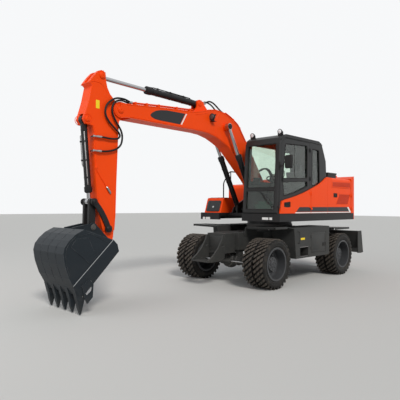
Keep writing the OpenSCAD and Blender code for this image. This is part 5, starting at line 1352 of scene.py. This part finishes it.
# name, body, finish, slot where it isn't the finish's own, pin, its end's distance from the middle, radius, keeper
pinEnds = [
    ("boom_foot_pins", "upper", "blackPaint", None, "boomFoot", 0.200, 0.045, 0.060),
    ("boom_base_pins", "upper", "blackPaint", None, "boomBase", 0.366, 0.045, 0.030),
    ("boom_eye_pins", "boom_rods", "blackPaint", None, "boomEye", 0.314, 0.045, 0.0),
    ("boom_tip_pins", "boom", "orangePaint", None, "boomTip", 0.170, 0.045, 0.070),
    ("stick_base_pins", "boom", "orangePaint", None, "stickBase", 0.098, 0.045, 0.025),
    ("stick_eye_pins", "stick", "orangePaint", None, "stickEye", 0.142, 0.045, 0.030),
    ("bucket_base_pins", "stick", "orangePaint", None, "bucketBase", 0.142, 0.035, 0.030),
    ("rod_pins", "side_links", "blackPaint", None, "rodPin", 0.186, 0.032, 0.0),
    ("side_pins", "side_links", "blackPaint", None, "sidePivot", 0.186, 0.034, 0.0),
    ("link_pins", "bucket", "castMetal", "bucket_paint", "linkPin", 0.152, 0.036, 0.022),
    ("bucket_pins", "bucket", "castMetal", "bucket_paint", "bucketPin", 0.152, 0.036, 0.022),
    ("blade_pins", "blade", "greyPaint", None, "bladePivot", 0.364, 0.032, 0.030),
]


def addPins():
    for name, owner, finish, slot, pin, reach, radius, keeper in pinEnds:
        centre = 0.0 if owner == "blade" else armY
        parts = [part for side in (1, -1) for part in addPin(pins[pin], centre + side * reach, side, radius, keeper)]
        finishPiece(parts, name, owner, finish, 30.0)
    print("pins")


# body, base pin, eye pin, place across the machine, barrel length, radius, angles of its pipes from its upper face
cylinders = {
    "boom_left": ("boom_barrels", "boomBase", "boomEye", armY + 0.264, 1.400, 0.062, [180.0]),
    "boom_right": ("boom_barrels", "boomBase", "boomEye", armY - 0.264, 1.400, 0.062, [180.0]),
    "stick": ("stick_barrel", "stickBase", "stickEye", armY, 1.370, 0.066, [18.0, -18.0]),
    "bucket": ("bucket_barrel", "bucketBase", "rodPin", armY, 1.210, 0.055, [60.0, -35.0]),
}


def addCylinderTrim(name, owner, base, eye, y, length, radius, angles):
    start = Vector((pins[base][0], y, pins[base][1]))
    way = (Vector((pins[eye][0], y, pins[eye][1])) - start).normalized()
    up = Vector((-way.z, 0, way.x))

    def collar(profile, at):
        return addTurned([(radius + out, length * at + along) for out, along in profile], start, way, 40)

    bolt = addRound(start + way * (length + 0.002) + up * (radius - 0.006), way * 0.011, 0.008, 6, bevel=0.001)
    head = [(0.006, length * -0.072), (0.011, length * -0.070), (0.011, -0.008), (0.006, 0.004), (-0.018, 0.006),
        (-0.018, 0.001), (0.004, -0.002)]
    wiper = [(0.0395, 0.0), (0.050, 0.0), (0.048, 0.016), (0.0395, 0.020)]
    parts = [collar(head, 1), addRing(bolt, 10, start, way), addTurned(wiper, start + way * length, way, 32)]
    parts += [collar([(-0.002, -0.008), (0.004, -0.005), (0.004, 0.005), (-0.002, 0.008)], at) for at in (0.14, 0.90)]
    pipes, far = [], radius + 0.013
    # the first pipe runs along the whole barrel, the second along its upper half
    for angle, ends, clamps, feet in zip(angles, ((0.17, 0.885, 0.915), (0.22, 0.62, 0.65)), ((0.30, 0.56, 0.80),
            (0.30, 0.56)), ((0.17, 0.915), ())):
        out = (up * math.cos(math.radians(angle)) + Vector((0, 1, 0)) * math.sin(math.radians(angle))).normalized()
        shares = ((ends[0], radius - 0.004), (ends[0], far), (ends[1], far), (ends[2], radius - 0.004))
        pipes.append(addBent([start + way * length * at + out * reach for at, reach in shares], 0.0095))
        parts += [addTurned(ringOf(0.0, 0.018, -0.014, 0.014), start + way * length * at + out * radius, out, 16)
            for at in feet]
        parts += [addTurned(ringOf(0.0, 0.0165, -0.013, 0.013), start + way * length * at + out * far, way, 16)
            for at in clamps]
    parts += [collar(ringOf(-0.002, 0.003, -0.014, 0.014), at) for at in (0.30, 0.56, 0.80)]
    finishPiece(parts, f"{name}_cylinder_fittings", owner, "blackPaint", 30.0)
    finishPiece(pipes, f"{name}_cylinder_pipes", owner, "zincSteel" if name == "bucket" else "blackPaint", 40.0)


arm = {
    "boomHalf": 0.160, "stickHalf": 0.130, "bead": 0.0055, "lamp": (2.145, 0.080, 3.610),
    "boom": [(0.262, 1.830), (0.778, 2.356), (1.223, 2.732), (1.403, 2.887), (1.599, 3.040), (1.752, 3.110),
        (2.007, 3.209), (2.248, 3.261), (2.480, 3.275), (4.300, 3.275), (4.440, 3.275), (4.440, 3.514), (4.379, 3.520),
        (3.614, 3.589), (2.638, 3.661), (2.230, 3.770), (2.011, 3.807), (1.757, 3.780), (1.496, 3.684), (1.257, 3.556),
        (0.997, 3.230), (0.160, 2.130)],
    "stick": [(4.600, 1.170), (4.640, 1.000), (4.800, 1.000), (4.822, 1.270), (4.893, 1.532), (4.959, 2.057),
        (4.987, 2.347), (5.008, 2.665), (5.005, 2.935), (5.031, 3.044), (5.158, 3.064), (5.205, 3.134), (5.110, 3.455),
        (5.056, 3.715), (5.115, 3.761), (5.016, 3.898), (4.940, 3.985), (4.877, 4.008), (4.797, 3.985), (4.788, 3.861),
        (4.758, 3.737), (4.702, 3.632), (4.560, 3.500), (4.440, 3.280), (4.513, 3.180), (4.530, 2.829), (4.556, 2.110),
        (4.569, 1.529)],
    "back": [(0.160, 2.130), (0.620, 2.736), (0.997, 3.230), (1.257, 3.556), (1.496, 3.684), (1.690, 3.756)],
    "badge": [(2.934, 3.567), (3.426, 3.556), (3.600, 3.532), (3.713, 3.497), (3.795, 3.448), (3.837, 3.402),
        (3.800, 3.365), (3.720, 3.343), (3.600, 3.334), (3.074, 3.331)],
    "slash": [(2.884, 3.568), (2.917, 3.5675), (3.057, 3.331), (3.024, 3.331)],
    "yellow": [(4.911, 3.343), (4.982, 3.343), (4.982, 3.485), (4.911, 3.485)],
}


def addWelds(name, owner, finish, runs, half, radius):
    beads = [addTube([(x, y, z) for x, z in run], radius, 1) for y in (armY - half, armY + half) for run in runs]
    finishPiece(beads, name, owner, finish, 60.0)


def addArmTrim():
    inner = grown(arm["boom"], -0.020)
    runs = [inner[1:10], inner[12:21], arc(pins["boomFoot"], 0.118, -30, 110), arc(pins["boomEye"], 0.100, 0, 360, 24),
        arc(pins["boomTip"], 0.115, -90, 100), [(2.270, 3.700), (2.480, 3.620), (2.640, 3.600)],
        [(2.007, 3.230), (2.040, 3.500), (1.900, 3.780)]]
    addWelds("boom_welds", "boom", "orangePaint", runs, arm["boomHalf"], arm["bead"])
    inner = grown(arm["stick"], -0.018)
    runs = [inner[4:10], inner[23:28], [(5.118, 3.740), (5.080, 3.770), (5.010, 3.790), (4.920, 3.785), (4.850, 3.760),
        (4.800, 3.700), (4.770, 3.640)], arc(pins["boomTip"], 0.105, 120, 250),
        arc(pins["bucketBase"], 0.080, 0, 360, 20)]
    addWelds("stick_welds", "stick", "orangePaint", runs, arm["stickHalf"], arm["bead"])
    for name, side in sides.items():
        at = sorted(armY + side * (arm["boomHalf"] + out) for out in (-0.0005, 0.0025))
        finishPiece(addLabel(arm["badge"], *at, 0.0008), f"boom_badge_{name}", "boom", "bandGrey")
        finishPiece(addLabel(arm["slash"], *at, 0.0008), f"boom_slash_{name}", "boom", "whiteLine")
    face = armY + arm["stickHalf"]
    plate = addLabel(rounded(arm["yellow"], 0.006, 3), face - 0.0005, face + 0.0015)
    finishPiece(plate, "stick_plate", "stick", "yellowPlate")
    lens = addTurned([(0.0, 0.050), (0.057, 0.050), (0.060, 0.072), (0.050, 0.077), (0.026, 0.081), (0.0, 0.082)],
        arm["lamp"], (1, 0, 0), 36)
    finishPiece(lens, "boom_lamp_lens", "boom", "smokedLens")
    parts = [addTurned([(0.058, 0.060), (0.068, 0.056), (0.069, 0.078), (0.062, 0.082), (0.058, 0.076)], arm["lamp"],
        (1, 0, 0), 36)]
    parts += [addBlock((2.130 + n * 0.009, 0.035, 3.640), (2.133 + n * 0.009, 0.125, 3.672 - n * 0.003), 0.001, 1)
        for n in range(4)]
    finishPiece(parts, "boom_lamp_rim", "boom", "blackPaint")
    print("arm trim")


def addBackPipes():
    # two steel pipes along each side of the boom's back, near the edge, with their saddles
    line, lift = arm["back"], []
    for index, (x, z) in enumerate(line):
        way = (Vector(line[min(index + 1, len(line) - 1)]) - Vector(line[max(index - 1, 0)])).normalized()
        lift.append((x - way.y * 0.036, z + way.x * 0.036))
    route = [(lift[0][0] + 0.12, lift[0][1] + 0.158)] + lift[1:] + [(lift[-1][0] + 0.05, lift[-1][1] - 0.030)]
    pipes = [addBent([(x, armY + out, z) for x, z in route], 0.011) for out in (0.143, 0.115, -0.143, -0.115)]
    finishPiece(pipes, "boom_edge_pipes", "boom", "orangePaint", 60.0)
    saddles = []
    for index, share in ((1, 0.2), (1, 0.9), (2, 0.8), (3, 0.7)):
        start, end = (Vector((x, 0, z)) for x, z in line[index:index + 2])
        spot, way = start.lerp(end, share), (end - start).normalized()
        up = Vector((-way.z, 0, way.x))
        corners = [spot + way * along + up * out for along, out in ((-0.018, -0.004), (0.018, -0.004), (0.018, 0.050),
            (-0.018, 0.050))]
        for side in (1, -1):
            low, high = atSide(side, 0.098, 0.158)
            saddles.append(addPlate([(p.x, p.z) for p in corners], armY + low, armY + high, bevel=0.003))
            saddles.append(addRound(spot + Vector((0, armY + side * 0.129, 0)) + up * 0.046, up * 0.012, 0.009, 6,
                bevel=0.001))
    finishPiece(saddles, "boom_saddles", "boom", "orangePaint")
    print("back pipes")


def addArmPipes():
    # bright sleeves over the stick's elbows, and the thin grease line down its side
    parts = []
    for z in (2.861, 2.620):
        parts.append(addTurned([(0.0, 0.004), (0.0165, 0.004), (0.0165, 0.075), (0.0195, 0.080), (0.0195, 0.098),
            (0.0, 0.102)], (4.950, 0.022, z), (1, 0, 0), 20))
        parts.append(addRound((4.952, 0.022, z), (0.022, 0, 0), 0.021, 6, bevel=0.002))
        parts.append(addTurned(ringOf(0.0, 0.0145, -0.100, 0.0), (5.032, 0.022, z), (0, 1, 0), 18))
    finishPiece(parts, "stick_elbows", "stick", "zincSteel", 30.0)
    face = armY + arm["stickHalf"]
    pipe = addBent([(x, face + out, z) for x, out, z in ((5.020, -0.014, 2.585), (4.986, 0.006, 2.560),
        (4.968, 0.006, 2.360), (4.955, 0.006, 2.300), (4.735, 0.008, 1.985), (4.705, 0.012, 1.940))], 0.0085)
    finishPiece(pipe, "stick_grease_pipe", "stick", "orangePaint", 40.0)
    block = [addBlock((4.945, face - 0.002, 2.320), (4.985, face + 0.018, 2.368), 0.004),
        addRound((4.958, face + 0.014, 2.345), (0, 0.012, 0), 0.008, 6, bevel=0.001)]
    finishPiece(block, "grease_block", "stick", "orangePaint")
    ferrule = addTurned([(0.0, 0.0), (0.010, 0.0), (0.021, 0.016), (0.021, 0.120), (0.011, 0.145), (0.0, 0.147)],
        (4.765, face + 0.016, 2.028), (-0.57, 0, -0.82), 20)
    finishPiece(ferrule, "grease_ferrule", "stick", "zincSteel", 30.0)
    clips = [addBlock((x - 0.016, face - 0.001, z - 0.008), (x + 0.016, face + 0.014, z + 0.008), 0.003)
        for x, z in ((4.978, 2.470), (4.860, 2.164))]
    finishPiece(clips, "grease_clips", "stick", "orangePaint")
    print("arm pipes")


addPins()
for cylinderName, values in cylinders.items():
    addCylinderTrim(cylinderName, *values)
addArmTrim()
addBackPipes()
addArmPipes()


# bucket: weld runs on its sides, tooth pins and cutter bolts
bucket = {
    "teeth": 5, "reach": 0.920, "pin": (5.412, 0.300), "cutters": [(5.292, 0.520), (5.420, 0.452), (5.398, 0.360)],
    "diagonal": [(4.862, 1.150), (5.576, 0.477)],
    "patch": [(5.329, 1.202), (5.529, 1.193), (5.624, 1.073), (5.295, 0.793), (5.178, 0.894), (5.329, 1.202)],
    "band": [(4.925, 1.112), (4.960, 1.102), (5.250, 1.250), (5.330, 1.262), (5.470, 1.230), (5.538, 1.254)],
    "contour": [(5.640, 0.640), (5.690, 0.810), (5.708, 0.960), (5.690, 1.060), (5.640, 1.140), (5.540, 1.225)],
}


def addBucketTrim():
    # the diagonal weld bead is given a painted highlight in light grey; the other runs keep the bucket's paint
    for name, finish, lines, half, radius in (("bucket_weld_painted_highlight", "weldPaintedHighlight", ["diagonal"], 0.508, 0.0055),
            ("bucket_welds", "bucketPaint", ["band", "contour"], 0.5005, 0.005),
            ("bucket_patch_welds", "bucketPaint", ["patch"], 0.502, 0.0055)):
        addWelds(name, "bucket", finish, [bucket[line] for line in lines], half, radius)
    x, z = bucket["pin"]
    parts = []
    for n in range(bucket["teeth"]):
        y = armY - bucket["reach"] / 2 + n * bucket["reach"] / (bucket["teeth"] - 1)
        parts.append(addRound((x, y - 0.0425, z), (0, 0.085, 0), 0.013, 16, bevel=0.002))
        parts.append(addRound((x, y - 0.0435, z), (0, 0.087, 0), 0.006, 12))
    finishPiece(parts, "tooth_pins", "bucket", "wornSteel", 30.0)
    bolts = [addRound((x, armY + side * 0.516, z), (0, side * 0.013, 0), 0.015, 6, bevel=0.002) for side in (1, -1)
        for x, z in bucket["cutters"]]
    finishPiece(bolts, "cutter_bolts", "bucket", "wornSteel", 30.0)
    print("bucket trim")


addBucketTrim()
